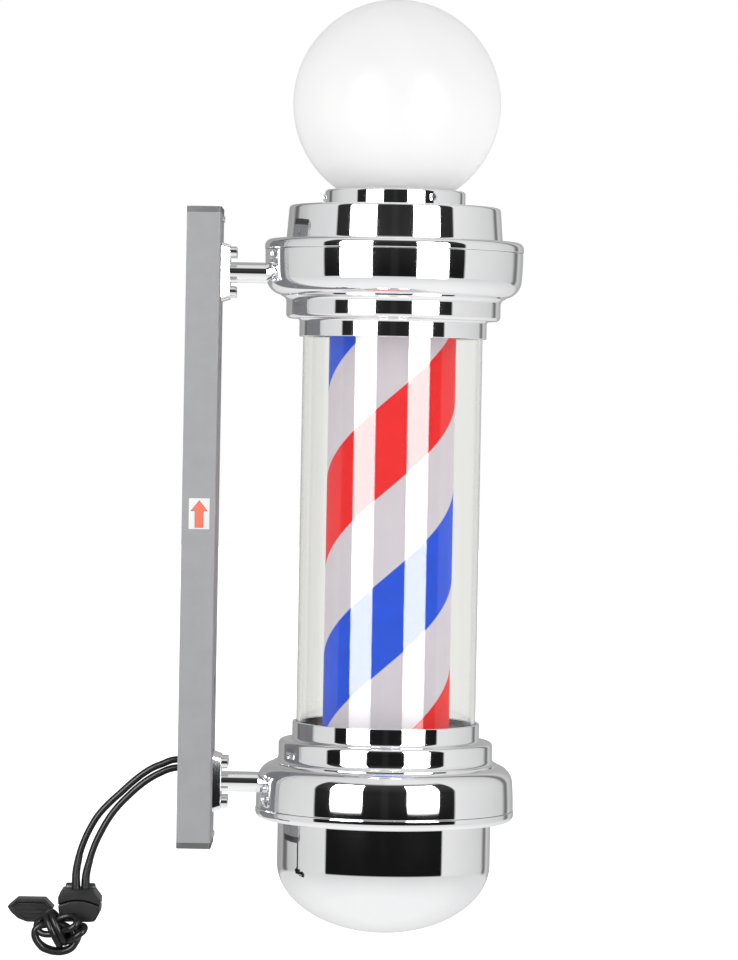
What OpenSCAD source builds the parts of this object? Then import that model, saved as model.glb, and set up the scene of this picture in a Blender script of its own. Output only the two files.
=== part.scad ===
// Wall-hung barber pole light: a turning striped drum inside a clear tube, held between two
// chromed end rings, with an opal globe lamp on top and a bowl below.
// Millimetres. X runs from the wall to the pole, Z up; the origin is in the wall plane, midway
// up the bracket.

/* [Pole] */
// Outside diameter of the clear tube
tube_d = 134.5; // [125:0.5:165]
// Wall of the clear tube
tube_wall = 2.75; // [2:0.25:4]
// Length of clear tube that shows between the end rings
tube_show = 288; // [235:1:420]
// Depth of each tube end inside its ring
tube_seat = 14; // [10:0.5:20]
// Outside diameter of the striped drum
drum_d = 95; // [76:1:112]
// Wall of the striped drum
drum_wall = 0.8; // [0.6:0.1:2]

/* [End rings] */
// Wall of the collar round the tube
collar_wall = 2.65; // [2:0.05:5]
// Height of the collar
collar_h = 13.5; // [12:0.5:20]
// How far the step stands out from the collar
step_out = 10.1; // [8:0.1:16]
// Height of the step
step_h = 16.5; // [14:0.5:24]
// How far the ring stands out from the step
ring_out = 16.3; // [14:0.1:22]
// Radius of the rounded shoulder under the ring
shoulder_r = 15; // [10:0.5:16]
// Height of the ring's upright wall
ring_h = 19.5; // [17:0.5:30]
// Wall of the ring
ring_wall = 3; // [2:0.25:4]

/* [Cap, bowl and globe] */
// Height of the rolled lip of the cap and the bowl
lip_h = 8; // [6:0.5:12]
// Wall of the cap
cap_wall = 2.5; // [1.5:0.25:3]
// Height of the cap above its lip
cap_h = 25.5; // [18:0.5:40]
// Outside diameter of the cap at its lip
cap_d = 162; // [130:1:170]
// Outside diameter of the cap at its top
cap_top_d = 158; // [126:1:160]
// Outside diameter of the bowl
bowl_d = 160; // [130:1:170]
// Wall of the bowl
bowl_wall = 2; // [1.5:0.25:3]
// Height of the bowl's upright wall
bowl_h = 33.5; // [20:0.5:50]
// Height of the bowl's dome
dome_h = 52; // [30:1:70]
// Diameter of the opal globe
globe_d = 155.6; // [120:0.1:200]
// Wall of the globe
globe_wall = 2.5; // [2:0.25:4]
// Outside diameter of the globe's neck
neck_d = 87; // [74:1:92]
// Outside diameter of the ring that holds the globe
gallery_d = 105; // [98:1:120]
// Height of the ring that holds the globe
gallery_h = 12; // [9:0.5:18]

/* [Bracket and arms] */
// Depth of the wall bracket
bracket_d = 25.5; // [24:0.5:40]
// Width of the wall bracket
bracket_w = 60; // [50:1:90]
// Side wall of the bracket
bracket_side = 2; // [1.5:0.25:3]
// Front web of the bracket
bracket_web = 2.5; // [2:0.25:4]
// How far the bracket runs past each arm
bracket_over = 48; // [36:0.5:90]
// Thickness of each bracket end cap
end_cap_t = 4.5; // [2:0.25:6]
// Distance from the bracket's front to the pole's axis
pole_gap = 129; // [122:1:180]
// Diameter of an arm
arm_d = 15.5; // [12:0.5:20]
// Bore of an arm, for its lead
arm_bore = 9; // [6:0.5:9]
// Height of a flange
flange_h = 44; // [40:1:60]
// Width of a flange
flange_w = 36; // [34:1:44]
// Thickness of a flange
flange_t = 6.4; // [4:0.2:10]
// Distance between flange screws, up and down
flange_screw_z = 29.6; // [28:0.2:32]
// Distance between flange screws, side to side
flange_screw_y = 22; // [20:0.5:24]
// Height of each wall clip above and below the middle
clip_z = 120; // [90:1:130]

/* [Motor] */
// Outside diameter of the motor can
motor_d = 60; // [56:1:66]
// Height of the motor can
motor_h = 22; // [22:0.5:30]
// Diameter of the drive shaft
shaft_d = 8; // [6:0.5:10]
// Teeth on the drive gear, a multiple of four
gear_teeth = 36; // [32:4:36]
// Teeth on the motor pinion, a multiple of four
pinion_teeth = 12; // [12:4:12]
// Size of a gear tooth
gear_module = 0.75; // [0.7:0.05:0.75]

/* [Clearances] */
// Play between pieces that are only put together
fit_gap = 0.1; // [0.05:0.05:0.2]
// Play between the clear tube and its collar
tube_gap = 0.3; // [0.2:0.05:0.5]
// Play between a turning piece and its bearing
run_gap = 0.05; // [0.02:0.01:0.08]

/* [Cords] */
// Diameter of the leads
lead_d = 4.2; // [3.6:0.1:5]

/* [Hidden] */
$fn = 96;

// Heights on the pole; the lower ring and bowl mirror the upper ones
z_tube = tube_show / 2;
z_step = z_tube + collar_h;
z_shoulder = z_step + step_h;
z_wall = z_shoulder + shoulder_r;
z_seam = z_wall + ring_h;
z_lip = z_seam + lip_h;
z_cap = z_lip + cap_h;
seal_t = 2;
ledge_t = 3.5;
z_seal = z_tube + tube_seat;
z_ledge = z_seal + seal_t;
z_plate = z_ledge + ledge_t;
plate_t = 2;
z_on_plate = z_plate + plate_t;

// Radii on the pole
pole_x = bracket_d + pole_gap;
tube_r = tube_d / 2;
bore_r = tube_r + tube_gap;
collar_r = bore_r + collar_wall;
step_r = collar_r + step_out;
step_round = 4;
ring_r = step_r + ring_out;
lip_r = ring_r + 0.4;
lip_round = 5;
ledge_r = tube_r - 7.25;
plate_r = step_r - ring_wall - 0.8;
plate_screw_r = (ledge_r + step_r - ring_wall) / 2;
plate_screw_a = [30, 150, 270];

// Arms
arm_r = arm_d / 2;
arm_drop = 17.5;
arm_z = z_seam - arm_drop;
arm_boss_r = arm_r + 4;
arm_seat_x = pole_x - ring_r + 8;
arm_nut_t = 5;
arm_nut_r = arm_r + 3.4;
arm_end_x = arm_seat_x + arm_nut_t + 2;

// Spigot that centres the cap and the bowl in their rings; it stops short of the arm's boss
spigot_r = ring_r - ring_wall - tube_gap;
spigot_t = 2;
spigot_h = arm_drop - arm_boss_r - 0.25;
lid_screw_a = [15, 90, 165];
lid_screw_z = z_seam - 2.75;
lid_head_r = 2.4;

// Bracket
bracket_half = arm_z + bracket_over;
web_x = bracket_d - bracket_web;
channel_half = bracket_half - end_cap_t;
cap_skirt_h = 9;
cap_screw_z = bracket_half - 8.5;
well_r = 8.5;
well_floor_x = bracket_d - 5.9;
well_t = 2;
clip_w = 22;
clip_l = 79;
clip_t = 1.5;
clip_slot_z = 61.5 / 2;
clip_slot_w = 7;
clip_slot_l = 10;
clip_hat = 19.5;
clip_top_x = well_floor_x - well_t - fit_gap;
bolt_r = 3;
washer_t = 1;
bolt_head_h = 4;
bolt_x = 4;
flange_x = bracket_d + flange_t;
flange_screw_r = 2.1;
flange_head_r = 4.2;
flange_head_h = 4.8;

// Globe lamp
gallery_r = gallery_d / 2;
neck_r = neck_d / 2;
neck_h = gallery_h - 1.5;
globe_r = globe_d / 2;
globe_z = z_cap + seal_t + neck_h + sqrt(globe_r * globe_r - neck_r * neck_r);
gallery_bore_r = neck_r + 2;
holder_r = 20;
holder_h = 42;
bulb_r = 30;
bulb_base_r = 13;
bulb_base_h = 24;
set_screw_z = z_cap + gallery_h / 2;
set_screw_a = [-58, 62, 182];
lead_hole_r = 5;

// Lamp column and drum
drum_r = drum_d / 2;
drum_in_r = drum_r - drum_wall;
drum_half = z_tube + 6;
disc_t = 4;
disc_r = drum_in_r - fit_gap;
column_r = 10;
column_wall = 1.5;
bush_r = column_r + 2.25;
column_low = z_tube - 8;
led_cap_top = column_low + 4;
led_cap_low = column_low - 8;
led_r = 11;

// Motor
shaft_r = shaft_d / 2;
motor_r = motor_d / 2;
can_wall = 1;
cover_t = 1.5;
motor_flange_r = motor_r + 9;
motor_low = z_on_plate + motor_h;
bush_out_r = shaft_r + 2;
gear_r = gear_teeth * gear_module / 2;
pinion_r = pinion_teeth * gear_module / 2;
rotor_x = gear_r + pinion_r;
rotor_pin_r = 1.5;
magnet_r = 8;
coil_in_r = magnet_r + 0.5;
coil_out_r = magnet_r + 2.8;
gear_top = z_on_plate + 4;
gear_t = 5.5;
gear_low = gear_top + gear_t;
magnet_top = gear_low + 2;
magnet_low = motor_low - 1;

// Leads: the points run from the bracket to the switch box
cord_z = [-175, -181];
light_route = [
  [0, 0, -175], [-6, 0, -176], [-12, 0, -178.5], [-20, 0, -182], [-27, 0, -186.5],
  [-35, 0, -193], [-43, 0, -200.5], [-52, 0, -209], [-60, 0, -218], [-66, 0, -228],
  [-70.5, 0, -238], [-74, 0, -249], [-76, 0, -261], [-76, 0, -273.5]
];
motor_route = [
  [0, 0, -181], [-7, 0, -182.5], [-14, 0, -185.5], [-22, 0, -190], [-30, 0, -196],
  [-38, 0, -203.5], [-46, 0, -212], [-52.5, 0, -221], [-58, 0, -231], [-62.5, 0, -241],
  [-66, 0, -252], [-68.5, 0, -263], [-69, 0, -273.5]
];
mains_route = [[-74, 0, -297.5], [-74, -1, -302], [-74, -4.5, -306], [-74, -10, -308],
  [-74, -14, -308]];
tail_route = [[-102, -14, -300], [-103.5, -10, -299], [-106, -6.5, -296], [-108, -5, -292],
  [-109, -2, -290]];
hank_x = [-108, -65];
hank_z = [-324, -291];
hank_y = [-32, -14];

// Switch box, seen from the front
switch_half_y = 13;
switch_wall = 2;
switch_top_z = -273.5;
switch_seam_z = -283;
switch_low_z = -297.5;
rocker_x = [-81, -65];
rocker_y = 7;
rocker_w = 5;
rocker_l = 7;
rocker_pin_r = 1.2;
rocker_pin_z = -277.5;
plug_y = [-2, 16];
pin_half = 9.3;
pin_r = 2;
pin_l = 19;
plug_x = -110;
plug_z = -289;

function arc(cx, cz, r, a0, a1, n = 8) =
  [for (i = [0:n]) let (a = a0 + (a1 - a0) * i / n) [cx + r * cos(a), cz + r * sin(a)]];

// Trapezoid teeth, narrow enough at the pitch circle to leave backlash
function gear_points(teeth, size) =
  let (p = 360 / teeth, r = teeth * size / 2)
  [for (i = [0:teeth - 1], k = [0:3])
    let (a = i * p + [-0.30, -0.12, 0.12, 0.30][k] * p, q = [-1.2, 0.9, 0.9, -1.2][k] * size)
    [(r + q) * cos(a), (r + q) * sin(a)]];

// Ribbed outline of a knurled edge or a toothed washer
function ribbed(r_out, r_in, ribs) =
  [for (i = [0:ribs - 1], k = [0:1])
    let (a = (i + k / 2) * 360 / ribs, r = k == 0 ? r_out : r_in) [r * cos(a), r * sin(a)]];

function unit(v) = v / norm(v);
function along(path, i) =
  unit(path[min(i + 1, len(path) - 1)] - path[max(i - 1, 0)]);

// A tube swept along a route, with flat ends square to the given end directions. The axis
// named by across stays clear of every direction that the route takes.
module sweep(path, d, sides, first, last, across) {
  n = len(path);
  tangents = [for (i = [0:n - 1]) i == 0 ? first : i == n - 1 ? last : along(path, i)];
  points = [for (i = [0:n - 1], k = [0:sides - 1])
    let (u = unit(cross(tangents[i], across)), v = cross(tangents[i], u))
    path[i] + d / 2 * (u * cos(360 * k / sides) + v * sin(360 * k / sides))];
  walls = [for (i = [0:n - 2], k = [0:sides - 1], half = [0:1])
    let (m = (k + 1) % sides, a = i * sides, b = a + sides)
    half == 0 ? [a + k, a + m, b + m] : [a + k, b + m, b + k]];
  near_end = [for (k = [sides - 1:-1:0]) k];
  far_end = [for (k = [0:sides - 1]) (n - 1) * sides + k];
  polyhedron(points, concat(walls, [near_end], [far_end]), convexity = 4);
}

// Rounded rectangle, centred
module round_rect(w, h, r) {
  square([w - 2 * r, h], center = true);
  square([w, h - 2 * r], center = true);
  for (x = [-1, 1], y = [-1, 1]) translate([x * (w / 2 - r), y * (h / 2 - r)]) circle(r);
}

module ring_tube(r_out, r_in, z0, z1) {
  translate([0, 0, z0]) difference() {
    cylinder(r = r_out, h = z1 - z0);
    translate([0, 0, -1]) cylinder(r = r_in, h = z1 - z0 + 2);
  }
}

module at_pole() { translate([pole_x, 0, 0]) children(); }
module both_ends() {
  children();
  mirror([0, 0, 1]) children();
}
// A cylinder along X from x0 to x1
module rod_x(r, x0, x1, n = 96) {
  translate([x0, 0, 0]) rotate([0, 90, 0]) cylinder(r = r, h = x1 - x0, $fn = n);
}
// Children laid out along X are turned to point out from the pole's axis
module radial(a, z) { at_pole() rotate([0, 0, a]) translate([0, 0, z]) children(); }
module plate_places() {
  for (a = plate_screw_a) rotate([0, 0, a]) translate([plate_screw_r, 0, 0]) children();
}
module flange_places() {
  for (y = [-1, 1], z = [-1, 1])
    translate([0, y * flange_screw_y / 2, arm_z + z * flange_screw_z / 2]) children();
}

// ---- wall bracket ----
module channel_section() {
  difference() {
    union() {
      translate([0, -bracket_w / 2]) square([bracket_d - 2, bracket_w]);
      translate([0, -bracket_w / 2 + 2]) square([bracket_d, bracket_w - 4]);
      for (y = [-1, 1]) translate([bracket_d - 2, y * (bracket_w / 2 - 2)]) circle(2);
    }
    translate([-1, -bracket_w / 2 + bracket_side])
      square([web_x + 1, bracket_w - 2 * bracket_side]);
  }
}

module bracket() {
  color("darkgray") difference() {
    union() {
      translate([0, 0, -channel_half]) linear_extrude(2 * channel_half) channel_section();
      both_ends() translate([0, 0, clip_z])
        rod_x(well_r + well_t, well_floor_x - well_t, bracket_d);
    }
    both_ends() {
      translate([0, 0, clip_z]) rod_x(well_r, well_floor_x, bracket_d + 1);
      translate([0, 0, clip_z]) rod_x(bolt_r + 0.4, 0, bracket_d);
      translate([0, 0, arm_z]) rod_x(arm_bore / 2, 0, bracket_d + 1);
      flange_places() rod_x(flange_screw_r + fit_gap, 0, bracket_d + 1);
      translate([0, 0, cap_screw_z]) rod_x(1.5, 0, bracket_d + 1);
    }
  }
}

module end_caps() {
  skirt_x = [fit_gap, web_x - fit_gap];
  skirt_y = bracket_w - 2 * bracket_side - 2 * fit_gap;
  color("dimgray") both_ends() difference() {
    union() {
      translate([0, 0, channel_half]) linear_extrude(end_cap_t)
        translate([bracket_d / 2, 0]) round_rect(bracket_d, bracket_w, 2);
      translate([skirt_x[0], -skirt_y / 2, channel_half - cap_skirt_h])
        cube([skirt_x[1] - skirt_x[0], skirt_y, cap_skirt_h + 1]);
    }
    translate([skirt_x[0] + 2, -skirt_y / 2 + 2, channel_half - cap_skirt_h - 1])
      cube([skirt_x[1] - skirt_x[0] - 5, skirt_y - 4, cap_skirt_h + 1]);
    translate([0, 0, cap_screw_z]) rod_x(1.3, web_x - 5, bracket_d);
  }
}

module end_cap_screws() {
  color("gainsboro") both_ends() translate([0, 0, cap_screw_z]) {
    rod_x(2.4, bracket_d, bracket_d + 1.8);
    rod_x(1.25, web_x - 3.5, bracket_d + 0.5);
  }
}

module arrow_sticker() {
  color("white") translate([5.2, -bracket_w / 2 - 0.3, -0.9]) cube([15.4, 0.3, 23]);
}

module wall_clips() {
  foot = clip_l / 2;
  outline = [[0, -foot], [clip_t, -foot], [clip_t, -clip_hat], [clip_top_x, -clip_hat],
    [clip_top_x, clip_hat], [clip_t, clip_hat], [clip_t, foot], [0, foot],
    [0, clip_hat - clip_t], [clip_top_x - clip_t, clip_hat - clip_t],
    [clip_top_x - clip_t, -clip_hat + clip_t], [0, -clip_hat + clip_t]];
  color("silver") both_ends() translate([0, 0, clip_z]) difference() {
    union() {
      rotate([90, 0, 0]) linear_extrude(clip_w, center = true) polygon(outline);
      rod_x(bolt_r + 2.5, clip_top_x - 5, clip_top_x - 0.5);
    }
    rod_x(bolt_r + run_gap, clip_top_x - 6, clip_top_x + 1);
    for (z = [-1, 1]) translate([0, 0, z * clip_slot_z]) {
      run = (clip_slot_l - clip_slot_w) / 2;
      for (k = [-1, 1]) translate([0, 0, k * run]) rod_x(clip_slot_w / 2, -1, clip_t + 1);
      translate([-1, -clip_slot_w / 2, -run]) cube([clip_t + 2, clip_slot_w, 2 * run]);
    }
  }
}

module clip_bolts() {
  head_x = well_floor_x + washer_t;
  color("gainsboro") both_ends() translate([0, 0, clip_z]) {
    rod_x(bolt_r, bolt_x, head_x + 1);
    rod_x(5.77, head_x, head_x + bolt_head_h, 6);
  }
}

module toothed_washers() {
  color("silver") both_ends() translate([well_floor_x, 0, clip_z]) rotate([0, 90, 0])
    linear_extrude(washer_t) difference() {
      polygon(ribbed(6.4, 5.5, 16));
      circle(bolt_r + 0.2);
    }
}

// ---- arms ----
module flanges() {
  color("gainsboro") both_ends() difference() {
    translate([bracket_d, 0, arm_z]) rotate([0, 90, 0]) linear_extrude(flange_t)
      round_rect(flange_h, flange_w, 4);
    translate([0, 0, arm_z]) rod_x(arm_r + fit_gap, bracket_d - 1, flange_x + 1);
    flange_places() rod_x(flange_screw_r + fit_gap, bracket_d - 1, flange_x + 1);
  }
}

module flange_screws() {
  color("silver") both_ends() flange_places() {
    rod_x(flange_screw_r, web_x - 3, flange_x + 1);
    difference() {
      rod_x(flange_head_r, flange_x, flange_x + flange_head_h);
      rod_x(2, flange_x + 2.3, flange_x + flange_head_h + 1, 6);
    }
  }
}

module arms() {
  color("gainsboro") both_ends() translate([0, 0, arm_z]) difference() {
    rod_x(arm_r, bracket_d, arm_end_x);
    rod_x(arm_bore / 2, bracket_d - 1, arm_end_x + 1);
  }
}

module arm_nuts() {
  color("silver") both_ends() translate([0, 0, arm_z]) difference() {
    rod_x(arm_nut_r, arm_seat_x, arm_seat_x + arm_nut_t, 6);
    rod_x(arm_r + fit_gap, arm_seat_x - 1, arm_seat_x + arm_nut_t + 1);
  }
}

// ---- end rings ----
// Outside of a ring, from its collar up to the seam
function ring_outside() = concat(
  [[collar_r, z_tube], [collar_r, z_step]],
  arc(step_r - step_round, z_step + step_round, step_round, -90, 0, 6),
  [[step_r, z_shoulder]],
  arc(ring_r - shoulder_r, z_wall, shoulder_r, -90, 0, 12),
  [[ring_r, z_seam]]
);

module end_ring() {
  inner = concat(
    [[ring_r - ring_wall, z_seam]],
    arc(ring_r - shoulder_r, z_wall, shoulder_r - ring_wall, 0, -90, 10),
    [[step_r - ring_wall, z_shoulder + ring_wall], [step_r - ring_wall, z_plate],
      [ledge_r, z_plate], [ledge_r, z_ledge], [bore_r, z_ledge], [bore_r, z_tube]]
  );
  difference() {
    union() {
      at_pole() rotate_extrude() polygon(concat(ring_outside(), inner));
      intersection() {
        at_pole() rotate_extrude()
          polygon(concat(ring_outside(), [[0, z_seam], [0, z_tube]]));
        translate([0, 0, arm_z]) rod_x(arm_boss_r, pole_x - ring_r - 1, arm_seat_x);
      }
    }
    translate([0, 0, arm_z]) rod_x(arm_r + fit_gap, pole_x - ring_r - 2, arm_seat_x + 1);
    translate([0, 0, arm_z]) rod_x(arm_nut_r + fit_gap, arm_seat_x, arm_end_x);
    at_pole() plate_places() translate([0, 0, z_ledge + 0.2]) cylinder(r = 1.7, h = 12);
    for (a = lid_screw_a) radial(a, lid_screw_z) rod_x(1.7, ring_r - 6, ring_r + 1);
  }
}

module upper_ring() { color("gainsboro") end_ring(); }
module lower_ring() { color("gainsboro") mirror([0, 0, 1]) end_ring(); }

module outer_tube() {
  color([0.85, 0.9, 0.95, 0.35]) at_pole() ring_tube(tube_r, tube_r - tube_wall, -z_seal, z_seal);
}

module tube_seals() {
  color("black") at_pole() both_ends() ring_tube(tube_r, tube_r - tube_wall, z_seal, z_ledge);
}

module lid_screws() {
  color("silver") both_ends() for (a = lid_screw_a) radial(a, lid_screw_z) {
    rod_x(1.5, spigot_r - spigot_t - 1.5, ring_r + 0.5);
    rod_x(lid_head_r, ring_r, ring_r + 1.8);
  }
}

// ---- cap, globe and lamp ----
// The spigot and rolled lip that the cap and the bowl share, outside first
function lip_outside() = concat(
  [[spigot_r - spigot_t, z_seam - spigot_h], [spigot_r, z_seam - spigot_h],
    [spigot_r, z_seam], [lip_r, z_seam]],
  arc(lip_r - lip_round, z_lip - lip_round, lip_round, 0, 90, 6)
);
module lid_screw_holes() {
  for (a = lid_screw_a) radial(a, lid_screw_z)
    rod_x(1.5 + run_gap, spigot_r - spigot_t - 2, ring_r);
}

module top_cap() {
  cap_r = cap_d / 2;
  top_r = cap_top_d / 2;
  outline = concat(
    lip_outside(),
    [[cap_r, z_lip]],
    arc(top_r - 2.5, z_cap - 2.5, 2.5, 0, 90, 5),
    [[lead_hole_r, z_cap], [lead_hole_r, z_cap - cap_wall],
      [top_r - cap_wall - 0.5, z_cap - cap_wall], [cap_r - cap_wall, z_lip - cap_wall],
      [spigot_r - spigot_t, z_lip - cap_wall]]
  );
  color("gainsboro") difference() {
    at_pole() rotate_extrude() polygon(outline);
    lid_screw_holes();
  }
}

module gallery() {
  top = z_cap + gallery_h;
  outline = concat(
    [[gallery_bore_r, z_cap], [gallery_r, z_cap]],
    arc(gallery_r - 2, top - 2, 2, 0, 90, 5),
    [[gallery_bore_r, top]]
  );
  color("gainsboro") difference() {
    at_pole() rotate_extrude() polygon(outline);
    for (a = set_screw_a) radial(a, set_screw_z) rod_x(2 + run_gap, neck_r, gallery_r + 1);
  }
}

module globe_seal() {
  color("white") at_pole() ring_tube(neck_r, neck_r - 5, z_cap, z_cap + seal_t);
}

module globe() {
  color("white") at_pole() difference() {
    union() {
      translate([0, 0, globe_z]) sphere(globe_r);
      translate([0, 0, z_cap + seal_t]) cylinder(r = neck_r, h = neck_h + 2);
    }
    translate([0, 0, globe_z]) sphere(globe_r - globe_wall);
    translate([0, 0, z_cap - 5]) cylinder(r = neck_r - globe_wall, h = neck_h + seal_t + 17);
  }
}

module globe_set_screws() {
  color("silver") for (a = set_screw_a) radial(a, set_screw_z) {
    rod_x(2, neck_r + run_gap, gallery_r + 1);
    translate([gallery_r, 0, 0]) rotate([0, 90, 0])
      linear_extrude(5) polygon(ribbed(3.4, 3, 18));
  }
}

module lampholder() {
  color("whitesmoke") at_pole() translate([0, 0, z_cap]) difference() {
    union() {
      cylinder(r = holder_r + 4, h = 4);
      cylinder(r = holder_r, h = holder_h);
    }
    translate([0, 0, holder_h - bulb_base_h])
      cylinder(r = bulb_base_r + fit_gap, h = bulb_base_h + 1);
    translate([0, 0, -1]) cylinder(r = lead_hole_r, h = holder_h);
  }
}

module bulb_base() {
  color("silver") at_pole() translate([0, 0, z_cap + holder_h - bulb_base_h])
    cylinder(r = bulb_base_r, h = bulb_base_h);
}

module bulb_glass() {
  bulb_z = 38;
  outline = concat([[0, 0], [bulb_base_r + 1, 0], [bulb_base_r + 3, 10]],
    arc(0, bulb_z, bulb_r, -32, 90, 16));
  color("ivory") at_pole() translate([0, 0, z_cap + holder_h]) rotate_extrude()
    polygon(outline);
}

// ---- inside the pole ----
module plate_disc(hole_r) {
  at_pole() difference() {
    translate([0, 0, z_plate]) cylinder(r = plate_r, h = plate_t);
    translate([0, 0, z_plate - 1]) cylinder(r = hole_r, h = plate_t + 2);
    plate_places() translate([0, 0, z_plate - 1]) cylinder(r = 1.7, h = plate_t + 2);
  }
}

module top_plate() { color("lightgray") plate_disc(column_r + fit_gap); }
module motor_plate() {
  color("lightgray") mirror([0, 0, 1]) difference() {
    plate_disc(bush_out_r + fit_gap);
    at_pole() for (y = [-1, 1]) translate([0, y * (motor_r + 5), z_plate - 1])
      cylinder(r = 1.7, h = plate_t + 2);
  }
}

module plate_screws() {
  color("silver") at_pole() both_ends() plate_places() {
    translate([0, 0, z_ledge + 0.5]) cylinder(r = 1.6, h = z_on_plate - z_ledge);
    translate([0, 0, z_on_plate]) cylinder(r = 3.2, h = 2.2);
  }
}

module lamp_column() {
  color("silver") at_pole() difference() {
    union() {
      translate([0, 0, column_low]) cylinder(r = column_r, h = z_on_plate - column_low + 8);
      translate([0, 0, z_on_plate]) cylinder(r = column_r + 6, h = 3);
    }
    translate([0, 0, column_low - 1])
      cylinder(r = column_r - column_wall, h = z_on_plate - column_low + 10);
  }
}

module drum_bush() {
  color("ivory") at_pole() {
    ring_tube(bush_r, column_r + fit_gap, led_cap_top, drum_half + 3);
    ring_tube(bush_r + 2.5, column_r + fit_gap, drum_half + 0.5, drum_half + 3);
  }
}

module led_cap() {
  color("silver") at_pole() difference() {
    translate([0, 0, led_cap_low]) cylinder(r = led_r + 1, h = led_cap_top - led_cap_low);
    translate([0, 0, column_low]) cylinder(r = column_r + fit_gap, h = 10);
  }
}

module led_tube() {
  low = -(z_tube - 8);
  color("white") at_pole() difference() {
    translate([0, 0, low]) cylinder(r = led_r, h = led_cap_low - low);
    translate([0, 0, low + 2]) cylinder(r = led_r - 1.5, h = led_cap_low - low);
  }
}

module led_driver() {
  color("white") at_pole() translate([-30, 21, z_on_plate]) cube([60, 30, 20]);
}

module striped_drum() {
  color("red") at_pole() ring_tube(drum_r, drum_in_r, -drum_half, drum_half);
}

module drum_top_disc() {
  color("white") at_pole() ring_tube(disc_r, bush_r + run_gap, drum_half - disc_t, drum_half);
}

module drum_bottom_disc() {
  color("white") at_pole() mirror([0, 0, 1]) difference() {
    union() {
      translate([0, 0, drum_half - disc_t]) cylinder(r = disc_r, h = disc_t);
      translate([0, 0, drum_half - disc_t]) cylinder(r = shaft_r + 5, h = disc_t + 10);
    }
    translate([0, 0, drum_half - disc_t + 1]) cylinder(r = shaft_r + run_gap / 2, h = 20);
  }
}

// ---- motor, below the lower ring's ledge ----
module drive_shaft() {
  top = drum_half - disc_t + 1.2;
  color("silver") at_pole() mirror([0, 0, 1])
    translate([0, 0, top]) cylinder(r = shaft_r, h = motor_low - 0.3 - top);
}

module drive_gear() {
  color("ivory") at_pole() mirror([0, 0, 1]) translate([0, 0, gear_top]) linear_extrude(gear_t)
    difference() {
      polygon(gear_points(gear_teeth, gear_module));
      circle(shaft_r + run_gap / 2);
    }
}

module motor_bush() {
  top = z_plate - 3;
  color("goldenrod") at_pole() mirror([0, 0, 1])
    ring_tube(bush_out_r, shaft_r + run_gap, top, gear_top - 0.5);
}

module motor_can() {
  color("silver") at_pole() mirror([0, 0, 1]) difference() {
    union() {
      translate([0, 0, z_on_plate]) cylinder(r = motor_r, h = motor_h);
      translate([0, 0, z_on_plate]) cylinder(r = motor_flange_r, h = can_wall);
    }
    translate([0, 0, z_on_plate + can_wall]) cylinder(r = motor_r - can_wall, h = motor_h);
    translate([0, 0, z_on_plate - 1]) cylinder(r = bush_out_r + fit_gap, h = 5);
    for (y = [-1, 1]) translate([0, y * (motor_r + 5), z_on_plate - 1])
      cylinder(r = 1.7, h = 4);
  }
}

module motor_cover() {
  color("silver") at_pole() mirror([0, 0, 1])
    translate([0, 0, motor_low]) cylinder(r = motor_r, h = cover_t);
}

module motor_screws() {
  color("gainsboro") at_pole() mirror([0, 0, 1]) for (y = [-1, 1])
    translate([0, y * (motor_r + 5), 0]) {
      translate([0, 0, z_plate + 0.2]) cylinder(r = 1.6, h = plate_t + can_wall);
      translate([0, 0, z_on_plate + can_wall]) cylinder(r = 3, h = 2);
    }
}

module rotor_pin() {
  color("silver") at_pole() mirror([0, 0, 1])
    translate([rotor_x, 0, z_on_plate + can_wall])
      cylinder(r = rotor_pin_r, h = motor_h - can_wall);
}

module motor_rotor() {
  color("darkslategray") at_pole() mirror([0, 0, 1]) translate([rotor_x, 0, 0]) difference() {
    union() {
      translate([0, 0, gear_top - 0.5]) rotate([0, 0, 180 / pinion_teeth])
        linear_extrude(gear_t + 1) polygon(gear_points(pinion_teeth, gear_module));
      translate([0, 0, gear_low]) cylinder(r = 3, h = magnet_top - gear_low + 1);
      translate([0, 0, magnet_top]) cylinder(r = magnet_r, h = magnet_low - magnet_top);
    }
    translate([0, 0, gear_top - 2]) cylinder(r = rotor_pin_r + run_gap, h = motor_h);
  }
}

module stator_coil() {
  color("chocolate") at_pole() mirror([0, 0, 1]) translate([rotor_x, 0, 0])
    ring_tube(coil_out_r, coil_in_r, magnet_top, motor_low);
}

module terminal_block() {
  color("white") at_pole() mirror([0, 0, 1]) translate([-20, -64, z_on_plate]) difference() {
    cube([40, 18, 12]);
    for (i = [0:3]) translate([5 + i * 10, 9, 8]) cylinder(r = 2, h = 6);
  }
}

module bowl() {
  bowl_r = bowl_d / 2;
  z_dome = z_lip + bowl_h;
  dome_out = [for (i = [1:18]) let (a = i * 5) [bowl_r * cos(a), z_dome + dome_h * sin(a)]];
  dome_in = [for (i = [18:-1:0]) let (a = i * 5)
    [(bowl_r - bowl_wall) * cos(a), z_dome + (dome_h - bowl_wall) * sin(a)]];
  outline = concat(
    lip_outside(), [[bowl_r, z_lip], [bowl_r, z_dome]], dome_out, dome_in,
    [[bowl_r - bowl_wall, z_lip - cap_wall], [spigot_r - spigot_t, z_lip - cap_wall]]
  );
  color("gainsboro") mirror([0, 0, 1]) difference() {
    at_pole() rotate_extrude() polygon(outline);
    lid_screw_holes();
  }
}

// ---- leads, switch box and plug ----
module cord_clamp() {
  color("black") difference() {
    translate([0, -8, -186]) cube([web_x, 16, 18]);
    for (z = cord_z) translate([0, 0, z]) rod_x(lead_d / 2, 2, web_x + 1);
  }
}

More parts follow.
